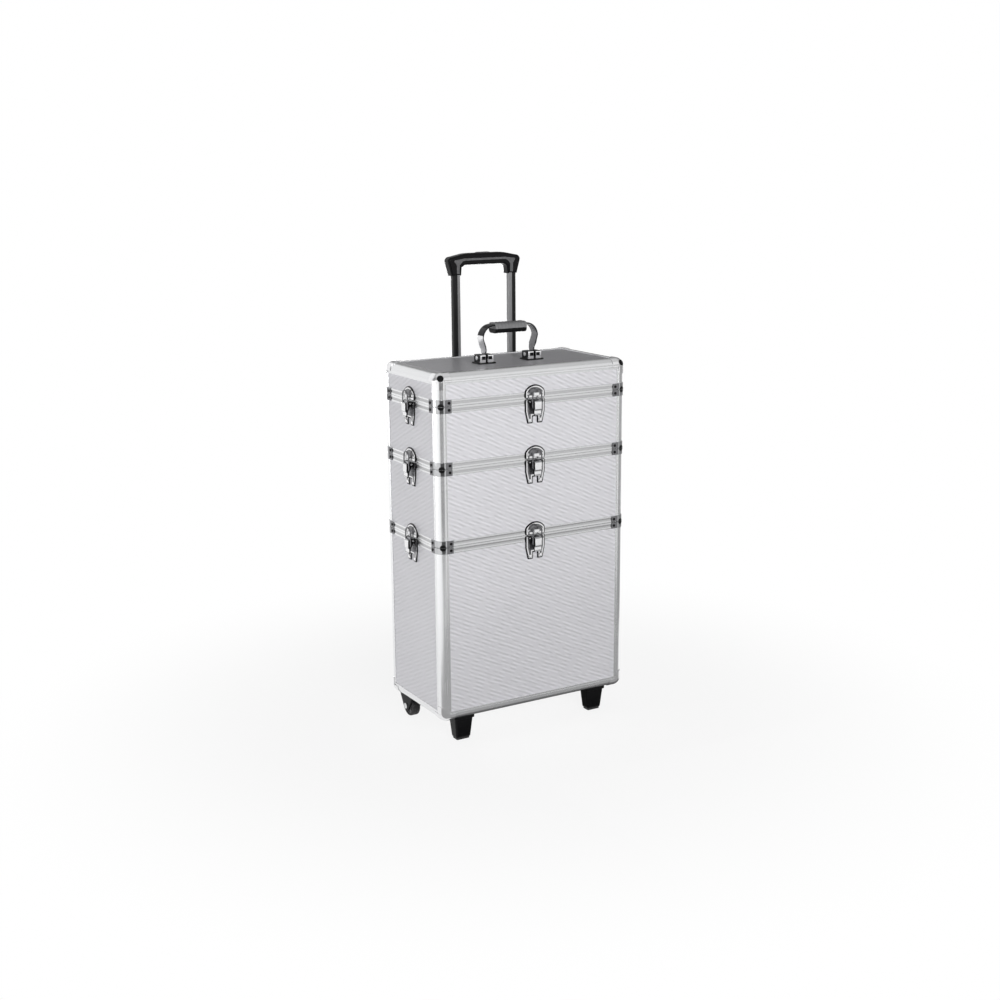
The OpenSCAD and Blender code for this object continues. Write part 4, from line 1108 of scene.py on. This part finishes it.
def trolleyOutline():
    sleeveOut = (tubeSpan + tubeWide) / 2 + trolley["sleeveWall"]
    sleeveIn = (tubeSpan - tubeWide) / 2 - trolley["sleeveWall"]
    half = (gripHigh.x - gripLow.x) / 2
    low = -trolley["bar"]
    foot = low - trolley["sleeve"]
    end = trolley["endRound"]
    right = [(sleeveIn + x, low + z) for x, z in trolley["crotch"]] + [(sleeveIn, foot), (sleeveOut, foot)]
    right += arc(half - end, -trolley["shoulderDrop"] - end, end, 0, 90, 8)
    right += [(half + x, z) for x, z in trolley["shoulder"]]
    return bothSides(right)


# grey inlay along the bar, over the shoulders and down the inner half of each sleeve: a moulded insert whose
# grey also stands in for the grip's highlights, a painted highlight
def inlayOutline():
    middle = tubeSpan / 2
    inner = middle - tubeWide / 2 + trolley["inlayIn"]
    low = trolley["inlayFoot"] - trolley["bar"] - trolley["sleeve"]
    top, under = -trolley["inlayTop"], -trolley["inlayLow"]
    shoulderX, shoulderZ = trolley["inlayShoulder"]
    right = [(inner + shoulderX, top), (middle + trolley["inlayOuter"][0][0], top + shoulderZ)]
    right += [(middle + x, under + z) for x, z in trolley["inlayOuter"]] + [(middle, low), (inner, low)]
    right += [(inner + x, under + z) for x, z in trolley["inlayInner"]]
    return bothSides(right)


def makeTrolleyGrip():
    piece = bmesh.new()
    deep = gripHigh.y - gripLow.y
    place = toMetres @ shift(trolleyX, gripHigh.y, gripHigh.z)
    part = moved(prism(trolleyOutline(), 0, deep), upright)
    soften(part, trolley["soft"], 6, lambda middle, along: abs(along.normalized().y) < 0.5)
    gather(piece, part, [place])
    for y in (0, deep):
        inlay = moved(prism(inlayOutline(), y - trolley["inlayHigh"], y + trolley["inlayHigh"]), upright)
        gather(piece, soften(inlay, trolley["inlaySoft"]), [place], 1)
    makePiece("trolleyGrip", piece, "trolley", [glossMoulding, highlightInlay], "trolley_grip")


# rounded tube outline with a flute along the middle of its front and back
def tubeOutline(wide, deep, rounding):
    x, y = wide / 2, deep / 2
    flute = [(trolley["flute"] / 2, y - trolley["fluteDeep"]), (trolley["flute"], y)]
    quarter = flute + arc(x - rounding, y - rounding, rounding, 90, 0, 6)
    return bothSides(quarter + [(a, -b) for a, b in reversed(quarter)])


def makeTubes():
    sliding = bmesh.new()
    outer = bmesh.new()
    spots = []
    for side in (-1, 1):
        spots.append(toMetres @ shift(trolleyX + side * tubeSpan / 2, tubeY) @ scaleBy(x=-side))
    outline = tubeOutline(tubeWide, tubeHigh.y - tubeLow.y, trolley["tubeRound"])
    part = prism(outline, tubeLow.z, tubeHigh.z)
    paint(part, 1, lambda normal, middle: middle.x > trolley["flute"])
    gather(sliding, part, spots)
    makePiece("trolleyTubes", sliding, "trolley", [tubeBlack, tubeGrey], "trolley_tubes", 35)
    # the outer tube is open at the top, with a moulded bush in its mouth
    wide = outerHigh.x - outerLow.x - tubeSpan
    deep = outerHigh.y - outerLow.y
    part = prism(tubeOutline(wide, deep, trolley["outerRound"]), outerLow.z, outerHigh.z)
    hollow(part, topFace(part), trolley["outerWall"], outerHigh.z - outerLow.z - trolley["outerFloor"])
    gather(outer, part, spots, 0)
    outline = tubeOutline(wide + trolley["bushWide"], deep + trolley["bushDeep"], trolley["bushRound"])
    part = prism(outline, outerHigh.z - trolley["bushLow"], outerHigh.z + trolley["bushHigh"])
    hollow(part, topFace(part), trolley["bushWall"], trolley["bushLow"])
    gather(outer, soften(part, trolley["bushSoft"]), spots, 1)
    makePiece("trolleyOuterTubes", outer, "base", [tubeBlack, blackMoulding],
              "trolley_outer_tubes", 35)


# row of ribs across a face, from one corner to the other of each rib's depth and height
def addRibs(piece, facts, low, high, places):
    for k in range(-facts["ribs"], facts["ribs"] + 1):
        middle = k * facts["ribPitch"]
        rib = block((middle - facts["ribHalf"], *low), (middle + facts["ribHalf"], *high))
        gather(piece, soften(rib, facts["ribSoft"]), places)


# release button with ribs on top, and the hidden bar and rods that it moves
button = {
    "half": 13, "deep": 4.5, "tall": 16, "round": 3.5, "soft": 0.5, "ribs": 3, "ribPitch": 3, "ribHalf": 0.5,
    "ribLong": 3.2, "ribSunk": 0.4, "ribHigh": 0.35, "ribSoft": 0.3,
    "barHalf": 2, "barTop": -12, "rodRadius": 2, "rodTop": -13, "rodSoft": 0.4,
}


def makeButton():
    piece = bmesh.new()
    low, high = boxOf("trolley_button")
    place = toMetres @ shift(trolleyX, (gripLow.y + gripHigh.y) / 2, high.z)
    part = block((-button["half"], -button["deep"], -button["tall"]), (button["half"], button["deep"], 0))
    soften(part, button["round"], 5, standing)
    soften(part, button["soft"], 2, lambda middle, along: middle.z > -button["soft"])
    gather(piece, part, [place])
    long = button["ribLong"]
    addRibs(piece, button, (-long, -button["ribSunk"]), (long, button["ribHigh"]), [place])
    half, thick = tubeSpan / 2, button["barHalf"]
    bar = block((-half, -thick, -button["tall"]), (half, thick, button["barTop"]))
    gather(piece, soften(bar, button["rodSoft"]), [place], 1)
    rod = disc(button["rodRadius"], low.z - high.z, button["rodTop"], 16)
    gather(piece, soften(rod, button["rodSoft"]), [place @ shift(x=side * half) for side in (-1, 1)], 1)
    makePiece("releaseButton", piece, "button", [buttonMoulding, steel], "trolley_button")


# two ribbed blocks that hold the outer tubes on the bin's back
clamp = {
    "tall": 24, "round": 3, "ribs": 3, "ribPitch": 9, "ribHalf": 2.6, "ribSunk": 0.3, "ribHigh": 0.5,
    "ribEnd": 5, "ribSoft": 0.45, "screwOut": 38, "screwRadius": 3.4, "screwHigh": 1.2,
}


def makeClamps():
    piece = bmesh.new()
    low, high = boxOf("trolley_clamps")
    tall, end, back = clamp["tall"], clamp["ribEnd"], high.y
    half = (high.x - low.x) / 2
    places = [toMetres @ shift(trolleyX, 0, z) for z in (low.z, high.z - tall)]
    part = block((-half, low.y, 0), (half, back, tall))
    gather(piece, soften(part, clamp["round"], 4, lambda middle, along: middle.y > 0.9 * back), places)
    addRibs(piece, clamp, (back - clamp["ribSunk"], end), (back + clamp["ribHigh"], tall - end), places)
    for side in (-1, 1):
        spot = shift(side * clamp["screwOut"], back, tall / 2) @ rotate(-90, "X")
        gather(piece, rivetHead(clamp["screwRadius"], clamp["screwHigh"], spot), places, 1)
    makePiece("tubeClamps", piece, "base", [blackMoulding, steel], "trolley_clamps")


makeTrolleyGrip()
makeTubes()
makeButton()
makeClamps()
print("trolley handle made")

# front feet: a tapered leg under a flange, with a rubber sole
foot = {
    "wide": 34, "deep": 26, "taper": 8, "soft": 4, "lowSoft": 2.4, "flange": 5, "flangeProud": 1.4,
    "flangeRound": 3, "flangeSoft": 1.2, "seatIn": 3, "seatSunk": 1, "sole": 3, "soleIn": 1.2, "soleUp": 0.6,
    "soleRound": 2.2, "soleSoft": 0.8,
}


# narrows a standing part towards the floor
def taperDown(part, high, wide, deep, taper):
    for v in part.verts:
        down = 1 - v.co.z / high
        v.co.x *= 1 - taper / wide * down
        v.co.y *= 1 - taper / deep * down
    return part


def makeFeet():
    piece = bmesh.new()
    low, high = boxOf("front_feet")
    tall = binLow.z
    x, y = foot["wide"] / 2, foot["deep"] / 2
    centreX = (high.x - low.x) / 2 - x
    places = [toMetres @ shift(side * centreX, low.y + y) for side in (-1, 1)]
    part = soften(block((-x, -y, foot["sole"]), (x, y, tall)), foot["soft"], 5, standing)
    taperDown(part, tall, foot["wide"], foot["deep"], foot["taper"])
    soften(part, foot["lowSoft"], 4, lambda middle, along: middle.z < foot["sole"] + 1)
    gather(piece, part, places)
    proudX, proudY = x + foot["flangeProud"], y + foot["flangeProud"]
    under = tall - foot["flange"]
    flange = block((-proudX, -proudY, under), (proudX, proudY, tall - hair))
    soften(flange, foot["flangeRound"], 5, standing)
    soften(flange, foot["flangeSoft"], 3, lambda middle, along: middle.z < under + 0.5)
    gather(piece, flange, places)
    seatX, seatY = x - foot["seatIn"], y - foot["seatIn"]
    gather(piece, block((-seatX, -seatY, tall - foot["seatSunk"]), (seatX, seatY, high.z)), places)
    soleX = x - foot["taper"] / 2 - foot["soleIn"]
    soleY = y - foot["taper"] / 2 - foot["soleIn"]
    sole = block((-soleX, -soleY, 0), (soleX, soleY, foot["sole"] + foot["soleUp"]))
    soften(sole, foot["soleRound"], 4, standing)
    gather(piece, soften(sole, foot["soleSoft"], 3, lambda middle, along: middle.z < 0.5), places, 1)
    makePiece("frontFeet", piece, "base", [blackMoulding, softRubber], "front_feet")


# wheels, drawn about the middle of the axle
wheel = {
    "radius": 18, "wide": 15, "tyre": 4, "axle": 3, "hub": 6, "hubHalf": 7.5, "hubSoft": 0.4, "discHalf": 4,
    "rimFoot": 2.6, "rimTop": 2, "sideIn": 1.5, "spokes": 5, "spokeHalf": 1.5, "spokeLow": 0.5,
    "spokeHigh": 1.5, "spokeSoft": 0.5, "steps": 40,
}
axleLow, axleHigh = boxOf("wheel_axles")
wheelY = (axleLow.y + axleHigh.y) / 2
wheelZ = (axleLow.z + axleHigh.z) / 2
wheelSpots = {}
for side in ("left", "right"):
    wheelX = sum(corner.x for corner in boxOf("wheel_" + side)) / 2
    wheelSpots[side] = toMetres @ shift(wheelX, wheelY, wheelZ)

# fork: a plate under the bin, two cheeks and a web that slopes inwards at each end
fork = {
    "cheek": 3, "cheekSoft": 0.8, "gap": 8.2, "reach": 5, "plate": 3, "plateDrop": 1.25, "plateRound": 2,
    "plateSoft": 0.5, "round": 10, "roundUp": 1, "overlap": 0.5, "webHigh": 6.5, "webIn": 2.1,
    "webSlope": 31, "webHalf": 1.5, "webUp": 1, "webSide": 0.6, "webSoft": 0.6, "seatIn": 2,
}


def makeForks():
    piece = bmesh.new()
    places = list(wheelSpots.values())
    top = binLow.z - wheelZ - fork["plateDrop"]
    low = top - fork["plate"]
    reach = wheel["radius"] + fork["reach"]
    half = fork["gap"] + fork["cheek"]
    outline = [(reach, low + fork["overlap"]), (-reach, low + fork["overlap"])]
    outline += arc(0, fork["roundUp"], fork["round"], 195, 345, 14)
    for start in (-half, fork["gap"]):
        cheek = facedOut(moved(prism(outline, start, start + fork["cheek"]), alongX))
        gather(piece, soften(cheek, fork["cheekSoft"], 3), places)
    plate = soften(block((-half, -reach, low), (half, reach, top)), fork["plateRound"], 4, standing)
    gather(piece, soften(plate, fork["plateSoft"]), places)
    webX, thick = half - fork["webSide"], fork["webHalf"]
    for side in (-1, 1):
        end = side * (reach - fork["webIn"])
        web = block((-webX, end - thick, low - fork["webHigh"]), (webX, end + thick, low + fork["webUp"]))
        moved(web, shift(0, end, low) @ rotate(-side * fork["webSlope"], "X") @ shift(0, -end, -low))
        gather(piece, soften(web, fork["webSoft"]), places)
    seatX, seatY = half - fork["seatIn"], reach - fork["seatIn"]
    seatTop = boxOf("wheel_housings")[1].z - wheelZ
    gather(piece, block((-seatX, -seatY, top - fork["overlap"]), (seatX, seatY, seatTop)), places)
    makePiece("wheelForks", piece, "base", [blackMoulding], "wheel_housings")


# axle: a rod through the fork, with a dished head at each end
axle = {"head": 5, "headHigh": 1.5, "dishIn": 1.4, "dishDeep": 0.5, "soft": 0.4}


def makeAxles():
    piece = bmesh.new()
    places = list(wheelSpots.values())
    half = fork["gap"] + fork["cheek"]
    gather(piece, moved(disc(wheel["axle"], -half, half, 32), lieAcross), places)
    for side in (-1, 1):
        head = disc(axle["head"], 0, axle["headHigh"], 32)
        sink(head, topFace(head), axle["dishIn"], axle["dishDeep"])
        soften(head, axle["soft"])
        gather(piece, moved(head, shift(x=side * half) @ rotate(side * 90, "Y")), places)
    makePiece("wheelAxles", piece, "base", [steel], "wheel_axles")


# wheel disc with a hub, a rim and spokes between them
def makeWheel(side):
    piece = bmesh.new()
    rimRadius = wheel["radius"] - wheel["tyre"]
    half = wheel["wide"] / 2 - wheel["sideIn"]
    hub, hubHalf, soft, discHalf = wheel["hub"], wheel["hubHalf"], wheel["hubSoft"], wheel["discHalf"]
    left = [(wheel["axle"] + hair, -hubHalf), (hub - soft, -hubHalf), (hub, soft - hubHalf)]
    left += [(hub, -discHalf), (rimRadius - wheel["rimFoot"], -discHalf)]
    left += [(rimRadius - wheel["rimTop"], -half), (rimRadius, -half)]
    part = spun(left + [(r, -x) for r, x in reversed(left)], wheel["steps"])
    gather(piece, part, [wheelSpots[side]])
    thick = wheel["spokeHalf"]
    spoke = block((-half, -thick, hub - wheel["spokeLow"]), (half, thick, rimRadius - wheel["spokeHigh"]))
    turns = [rotate(360 * k / wheel["spokes"], "X") for k in range(wheel["spokes"])]
    gather(piece, soften(spoke, wheel["spokeSoft"]), [wheelSpots[side] @ turn for turn in turns])
    makePiece(side + "Wheel", piece, side + "_wheel", [wheelMoulding], "wheel_" + side, 40)


# tyre: a crowned band with a groove round its middle
tyre = {
    "shoulder": ((1.6, 0.2), (0.6, 1.0), (0, 2.2)), "groove": 1.3, "floor": 0.9, "deep": 0.7, "steps": 48,
}


def makeTyre(side):
    piece = bmesh.new()
    radius, half = wheel["radius"], wheel["wide"] / 2
    right = [(radius - wheel["tyre"] + hair, half)]
    right += [(radius - down, half - inside) for down, inside in tyre["shoulder"]]
    right += [(radius, tyre["groove"]), (radius - tyre["deep"], tyre["floor"])]
    part = spun(right + [(r, -x) for r, x in reversed(right)], tyre["steps"])
    gather(piece, part, [wheelSpots[side]])
    makePiece(side + "Tyre", piece, side + "_wheel", [softRubber], "tyre_" + side, 30)


makeFeet()
makeForks()
makeAxles()
for side in wheelSpots:
    makeWheel(side)
    makeTyre(side)
print("feet and wheels made")

# inside: sewn cloth pads on the walls and floors, crowned between their seams
pad = {
    "thick": 2, "crown": 1.1, "tape": 5, "tapeHigh": 0.7, "tapeLines": (0, 0.15, 0.5, 0.85), "cells": 8,
    "channel": 56, "swell": 0.6, "wideSwell": 0.3, "rim": 0.5, "play": 0.6, "tiny": 0.01,
}


# grid lines along one side of a pad: a bound edge, then even fields between the seams
def padLines(length, fields):
    tape = pad["tape"]
    cells = fields * pad["cells"]
    edge = [share * tape for share in pad["tapeLines"]]
    inner = [tape + (length - 2 * tape) * k / cells for k in range(cells + 1)]
    return edge + inner + [length - place for place in reversed(edge)]


def padRise(x, y, size, fields):
    edge = min(x, size[0] - x, y, size[1] - y)
    tape = pad["tape"]
    if edge < tape - pad["tiny"]:
        return pad["tapeHigh"] * math.sin(math.pi * edge / tape)
    rise = pad["crown"]
    for place, length, count in zip((x, y), size, fields):
        share = (place - tape) / (length - 2 * tape) * count
        rise *= abs(math.sin(math.pi * share)) ** pad["swell" if count > 1 else "wideSwell"]
    return rise


# closed pad lying on its back, or crowned on both faces
def sewnPad(size, thick, fields, bothFaces=False):
    lines = [padLines(length, count) for length, count in zip(size, fields)]
    steps = [len(places) - 1 for places in lines]
    part = bmesh.new()
    bmesh.ops.create_grid(part, x_segments=steps[0], y_segments=steps[1], size=0.5)
    for v in part.verts:
        v.co.x, v.co.y = [places[round((v.co[k] + 0.5) * steps[k])] for k, places in enumerate(lines)]
    under = part.verts[:]
    grown = bmesh.ops.extrude_face_region(part, geom=part.faces[:])["geom"]
    for verts, side in ((only(bmesh.types.BMVert, grown), 1), (under, -1)):
        for v in verts:
            atEdge = min(v.co.x, size[0] - v.co.x, v.co.y, size[1] - v.co.y) < pad["tiny"]
            height = thick * pad["rim"] if atEdge else thick + padRise(v.co.x, v.co.y, size, fields)
            if side > 0 or bothFaces:
                v.co.z = side * height
    return facedOut(moved(part, shift(-size[0] / 2, -size[1] / 2)))


def channels(length):
    return max(1, round(length / pad["channel"]))


def makePadded(name, piece, body, cloth, node):
    made = makePiece(name, piece, body, [cloth], node, 60)


# a tier's lining: four walls with upright channels between the corner posts, and a quilted floor
def makeLining(name, node, body, wallLift):
    piece = bmesh.new()
    low, high = boxOf(node)
    thick = pad["thick"]
    tall = high.z - low.z - wallLift
    rise = low.z + wallLift + tall / 2
    wideX = caseW - 2 * rail["round"]
    wideY = caseD - 2 * rail["round"]
    for side in (-1, 1):
        back = shift(0, side * high.y, rise) @ rotate(180 if side < 0 else 0, "Z")
        gather(piece, sewnPad((wideX, tall), thick, (channels(wideX), 1)), [toMetres @ back @ upright], 0)
        end = shift(side * high.x, 0, rise) @ rotate(-side * 90, "Z")
        gather(piece, sewnPad((wideY, tall), thick, (channels(wideY), 1)), [toMetres @ end @ upright], 0)
    inset = thick + pad["play"]
    size = (2 * (high.x - inset), 2 * (high.y - inset))
    floorPad = sewnPad(size, thick, (channels(size[0]), channels(size[1])))
    gather(piece, floorPad, [toMetres @ shift(z=low.z)], 0)
    makePadded(name, piece, body, liningCloth, node)


makeLining("binLining", "base_lining", "base", 4.8)
makeLining("middleTierLining", "middle_lining", "middle", 2.5)
makeLining("upperTierLining", "upper_lining", "upper", 2.5)

# lid pad: tufted foam facing down, with a covered button at each crossing
tuft = {"radius": 4.5, "high": 1.3, "sunk": 0.4}


def makeLidPad():
    piece = bmesh.new()
    low, high = boxOf("lid_lining")
    size = (high.x - low.x, high.y - low.y)
    thick = high.z - low.z
    fields = (channels(size[0]), channels(size[1]))
    faceDown = toMetres @ shift(z=high.z) @ rotate(180, "X")
    gather(piece, sewnPad(size, thick, fields), [faceDown], 0)
    seams = []
    for length, count in zip(size, fields):
        field = (length - 2 * pad["tape"]) / count
        seams.append([pad["tape"] + field * k - length / 2 for k in range(1, count)])
    spots = [faceDown @ shift(x, y, thick - tuft["sunk"]) for x in seams[0] for y in seams[1]]
    gather(piece, rivetHead(tuft["radius"], tuft["high"], Matrix()), spots, 0)
    makePadded("lidPad", piece, "lid", liningCloth, "lid_lining")


divider = {"thick": 5, "sunk": 0.4}


def makeDividers():
    piece = bmesh.new()
    low, high = boxOf("middle_dividers")
    half = divider["thick"] / 2
    size = (high.y - low.y - 2 * pad["play"], high.z - low.z)
    stand = rotate(90, "Z") @ upright
    middle = (low.z + high.z) / 2
    places = [toMetres @ shift(x, 0, middle) @ stand for x in (low.x + half, high.x - half)]
    gather(piece, sewnPad(size, half - divider["sunk"], (channels(size[0]), 1), True), places, 0)
    makePadded("middleTierDividers", piece, "middle", padCloth, "middle_dividers")


# lift-out tray: three pockets in a rounded moulding, with a lip round the top
tray = {
    "wall": 2, "floor": 2, "corner": 6, "parts": 3, "soft": 0.5, "lip": 1.6, "lipHigh": 3, "lipDown": 0.3,
    "lipIn": 0.4,
}


def makeTray():
    piece = bmesh.new()
    low, high = boxOf("lift_out_tray")
    lip = Vector((tray["lip"], tray["lip"], 0))
    part = soften(block(low + lip, high - lip), tray["corner"], 6, standing)
    for k in range(1, tray["parts"]):
        slit(part, (low.x + (high.x - low.x) * k / tray["parts"], 0, 0), (1, 0, 0))
    for face in [f for f in part.faces if f.normal.z > 0.9]:
        hollow(part, face, tray["wall"] / 2, high.z - low.z - tray["floor"])
    gather(piece, soften(facedOut(part), tray["soft"]), [toMetres], 0)
    # the lip is a ring cut from one plate
    outer = block((low.x, low.y, high.z - tray["lipHigh"]), (high.x, high.y, high.z - tray["lipDown"]))
    soften(outer, tray["corner"] + tray["lip"], 6, standing)
    upper = topFace(outer)
    inset = tray["lip"] + tray["lipIn"]
    bmesh.ops.inset_individual(outer, faces=[upper], thickness=inset, use_even_offset=True)
    under = min(outer.faces, key=lambda f: f.calc_center_median().z)
    bmesh.ops.inset_individual(outer, faces=[under], thickness=inset, use_even_offset=True)
    bmesh.ops.bridge_loops(outer, edges=upper.edges[:] + under.edges[:])
    bmesh.ops.delete(outer, geom=[upper, under], context="FACES_ONLY")
    gather(piece, soften(facedOut(outer), tray["soft"]), [toMetres], 0)
    makePiece("liftOutTray", piece, "tray", [trayMoulding], "lift_out_tray", 40)


# ledges that carry the tray, each with three screws
ledge = {
    "wide": 9, "down": 0.6, "soft": 0.8, "screws": (-60, 0, 60), "screwDown": 0.7, "screwRadius": 2.6,
    "screwHigh": 0.6,
}


def makeLedges():
    piece = bmesh.new()
    low, high = boxOf("tray_ledges")
    screwX = high.x - ledge["wide"] / 2
    screwZ = high.z - ledge["screwDown"]
    for side in (-1, 1):
        start, end = sorted((side * high.x, side * (high.x - ledge["wide"])))
        part = block((start, low.y, low.z), (end, high.y, high.z - ledge["down"]))
        gather(piece, soften(part, ledge["soft"], 3), [toMetres], 0)
        spots = [toMetres @ shift(side * screwX, y, screwZ) for y in ledge["screws"]]
        gather(piece, rivetHead(ledge["screwRadius"], ledge["screwHigh"], Matrix()), spots, 1)
    makePiece("trayLedges", piece, "upper", [trayMoulding, steel], "tray_ledges")


makeLidPad()
makeDividers()
makeTray()
makeLedges()
print("interior made")

# floor, world, reflecting cards and lamps, in metres
studio = {
    "floor": 30.0, "floorColor": (0.90, 0.90, 0.90), "floorLight": (0.92, 0.92, 0.92), "floorMottle": 3,
    "floorRough": 0.9, "floorLift": 0.86, "fade": (0.25, 0.9), "ambient": 0.62, "dimming": 3.0,
    "overhead": ((0.0, 1.0), (0.06, 0.88), (0.15, 0.42), (0.36, 0.26), (0.62, 0.34), (0.85, 0.70)),
    "cardGrain": 2, "cardDark": (0.9, 0.9, 0.9), "cardLight": (1, 1, 1),
}
cards = {
    "frontMat": {"place": (1.35, -1.75, 0.004), "aim": (1.35, -1.75, 1), "size": (2.9, 2.9), "grey": 0.92},
    "nearMat": {"place": (0.15, -0.45, 0.006), "aim": (0.15, -0.45, 1), "size": (1.3, 0.7), "grey": 0.38},
    "topCard": {"place": (0.9, -1.3, 1.5), "aim": (0, 0, 0.6), "size": (1.4, 1.0), "grey": 0.9},
    "rightCard": {"place": (0.62, -0.05, 0.33), "aim": (0, -0.05, 0.33), "size": (1.0, 0.66), "grey": 0.34},
    "leftStrip": {"place": (-1.15, -0.30, 0.5), "aim": (0, 0, 0.5), "size": (0.75, 1.0), "grey": 1.15},
    "frontDark": {
        "place": (-0.43, -1.09, 0.52), "aim": (-0.17, -0.09, 0.52), "size": (1.0, 1.04), "grey": 0.13,
    },
    "underMat": {"place": (0.06, -0.03, 0.006), "aim": (0.06, -0.03, 1), "size": (0.40, 0.15), "grey": 0.14},
    "backDark": {"place": (1.45, 1.45, 0.95), "aim": (0.1, 0, 0.75), "size": (1.3, 0.62), "grey": 0.12},
    "backCard": {"place": (-0.75, 1.70, 1.28), "aim": (-0.175, 0, 0.6), "size": (1.7, 1.25), "grey": 1.05},
}
lamps = {
    "leftBox": {"place": (-2.6, 0.3, 0.30), "aim": (0, 0, 0.15), "size": (2.2, 0.6), "watts": 17},
    "frontBox": {"place": (-0.7, -3.0, 1.25), "aim": (0, 0, 0.5), "size": (2.2, 1.6), "watts": 66},
    "rightBox": {"place": (2.6, 0.4, 0.29), "aim": (0, 0, 0.22), "size": (1.8, 0.5), "watts": 22},
    "backBox": {"place": (0.95, 2.8, 0.29), "aim": (0, 0, 0.22), "size": (1.6, 0.5), "watts": 32},
}


def pureRays(tree):
    path = wire(tree, "ShaderNodeLightPath").outputs
    seen = calc(tree, "MAXIMUM", path["Is Camera Ray"], path["Is Glossy Ray"])
    return calc(tree, "MAXIMUM", seen, path["Is Transmission Ray"])


def stagePlane(name, place, width, height, material):
    plane = bmesh.new()
    size = place @ scaleBy(width, height)
    bmesh.ops.create_grid(plane, x_segments=1, y_segments=1, size=0.5, matrix=size)
    mesh = bpy.data.meshes.new(name)
    plane.to_mesh(mesh)
    plane.free()
    mesh.materials.append(material)
    made = bpy.data.objects.new(name, mesh)
    scene.collection.objects.link(made)
    return made


# near the case the floor takes its shadow, further off it turns to the white of the background
def floorMaterial():
    material, tree, shader = startMaterial("paleFloor")
    place = wire(tree, "ShaderNodeTexCoord").outputs["Object"]
    mottle = speckle(tree, place, studio["floorMottle"])
    color = shade(tree, mottle, studio["floorColor"], studio["floorLight"])
    tree.links.new(color, shader.inputs["Base Color"])
    shader.inputs["Roughness"].default_value = studio["floorRough"]
    away = wire(tree, "ShaderNodeVectorMath", {0: place}, operation="LENGTH").outputs["Value"]
    near, far = studio["fade"]
    inputs = {"Value": away, "From Min": near, "From Max": far, "To Min": studio["floorLift"]}
    lift = wire(tree, "ShaderNodeMapRange", inputs, interpolation_type="SMOOTHSTEP").outputs[0]
    glow = wire(tree, "ShaderNodeEmission", {"Color": (1, 1, 1, 1), "Strength": 1.0}).outputs[0]
    share = calc(tree, "MULTIPLY", pureRays(tree), lift)
    mixed = wire(tree, "ShaderNodeMixShader", {0: share, 1: shader.outputs[0], 2: glow}).outputs[0]
    tree.links.new(mixed, tree.nodes["Material Output"].inputs["Surface"])
    return material


# white where the camera looks; metal sees white low down and a darker band higher up
def makeWorld():
    world = bpy.data.worlds.new("studioWorld")
    world.use_nodes = True
    tree = world.node_tree
    ambient = tree.nodes["Background"]
    ambient.inputs["Strength"].default_value = studio["ambient"]
    towards = wire(tree, "ShaderNodeTexCoord").outputs["Generated"]
    height = wire(tree, "ShaderNodeSeparateXYZ", {0: towards}).outputs[2]
    band = wire(tree, "ShaderNodeValToRGB", {"Fac": height})
    stops = band.color_ramp.elements
    for place, grey in studio["overhead"][1:-1]:
        stops.new(place)
    for stop, (place, grey) in zip(stops, studio["overhead"]):
        stop.position = place
        stop.color = (grey, grey, grey, 1)
    dimmed = calc(tree, "POWER", band.outputs["Color"], studio["dimming"])
    tree.links.new(dimmed, ambient.inputs["Color"])
    straight = wire(tree, "ShaderNodeLightPath").outputs["Is Camera Ray"]
    inputs = {"Factor": straight, "A": band.outputs["Color"], "B": (1, 1, 1, 1)}
    color = wire(tree, "ShaderNodeMix", inputs, data_type="RGBA").outputs["Result"]
    white = wire(tree, "ShaderNodeBackground", {"Color": color, "Strength": 1.0}).outputs[0]
    inputs = {0: pureRays(tree), 1: ambient.outputs[0], 2: white}
    mixed = wire(tree, "ShaderNodeMixShader", inputs).outputs[0]
    tree.links.new(mixed, tree.nodes["World Output"].inputs["Surface"])
    scene.world = world


def facing(place, aim):
    away = Vector(place) - Vector(aim)
    return Matrix.Translation(place) @ away.to_track_quat("Z", "Y").to_matrix().to_4x4()


# grey and dark cards that only show in the metal
def makeCards():
    for name, facts in cards.items():
        material, tree, shader = startMaterial(name)
        glow = wire(tree, "ShaderNodeEmission", {"Strength": facts["grey"]})
        grain = speckle(tree, objectPlace(tree), studio["cardGrain"])
        color = shade(tree, grain, studio["cardDark"], studio["cardLight"])
        tree.links.new(color, glow.inputs["Color"])
        tree.links.new(glow.outputs[0], tree.nodes["Material Output"].inputs["Surface"])
        card = stagePlane(name, facing(facts["place"], facts["aim"]), *facts["size"], material)
        card.visible_camera = False
        card.visible_diffuse = False
        card.visible_shadow = False


def makeLamps():
    for name, facts in lamps.items():
        data = bpy.data.lights.new(name, "AREA")
        data.shape = "RECTANGLE"
        data.size, data.size_y = facts["size"]
        data.energy = facts["watts"]
        lamp = bpy.data.objects.new(name, data)
        lamp.matrix_world = facing(facts["place"], facts["aim"])
        scene.collection.objects.link(lamp)


stagePlane("floor", Matrix(), studio["floor"], studio["floor"], floorMaterial())
makeWorld()
makeCards()
makeLamps()
scene.view_settings.view_transform = "Standard"
print("studio made")
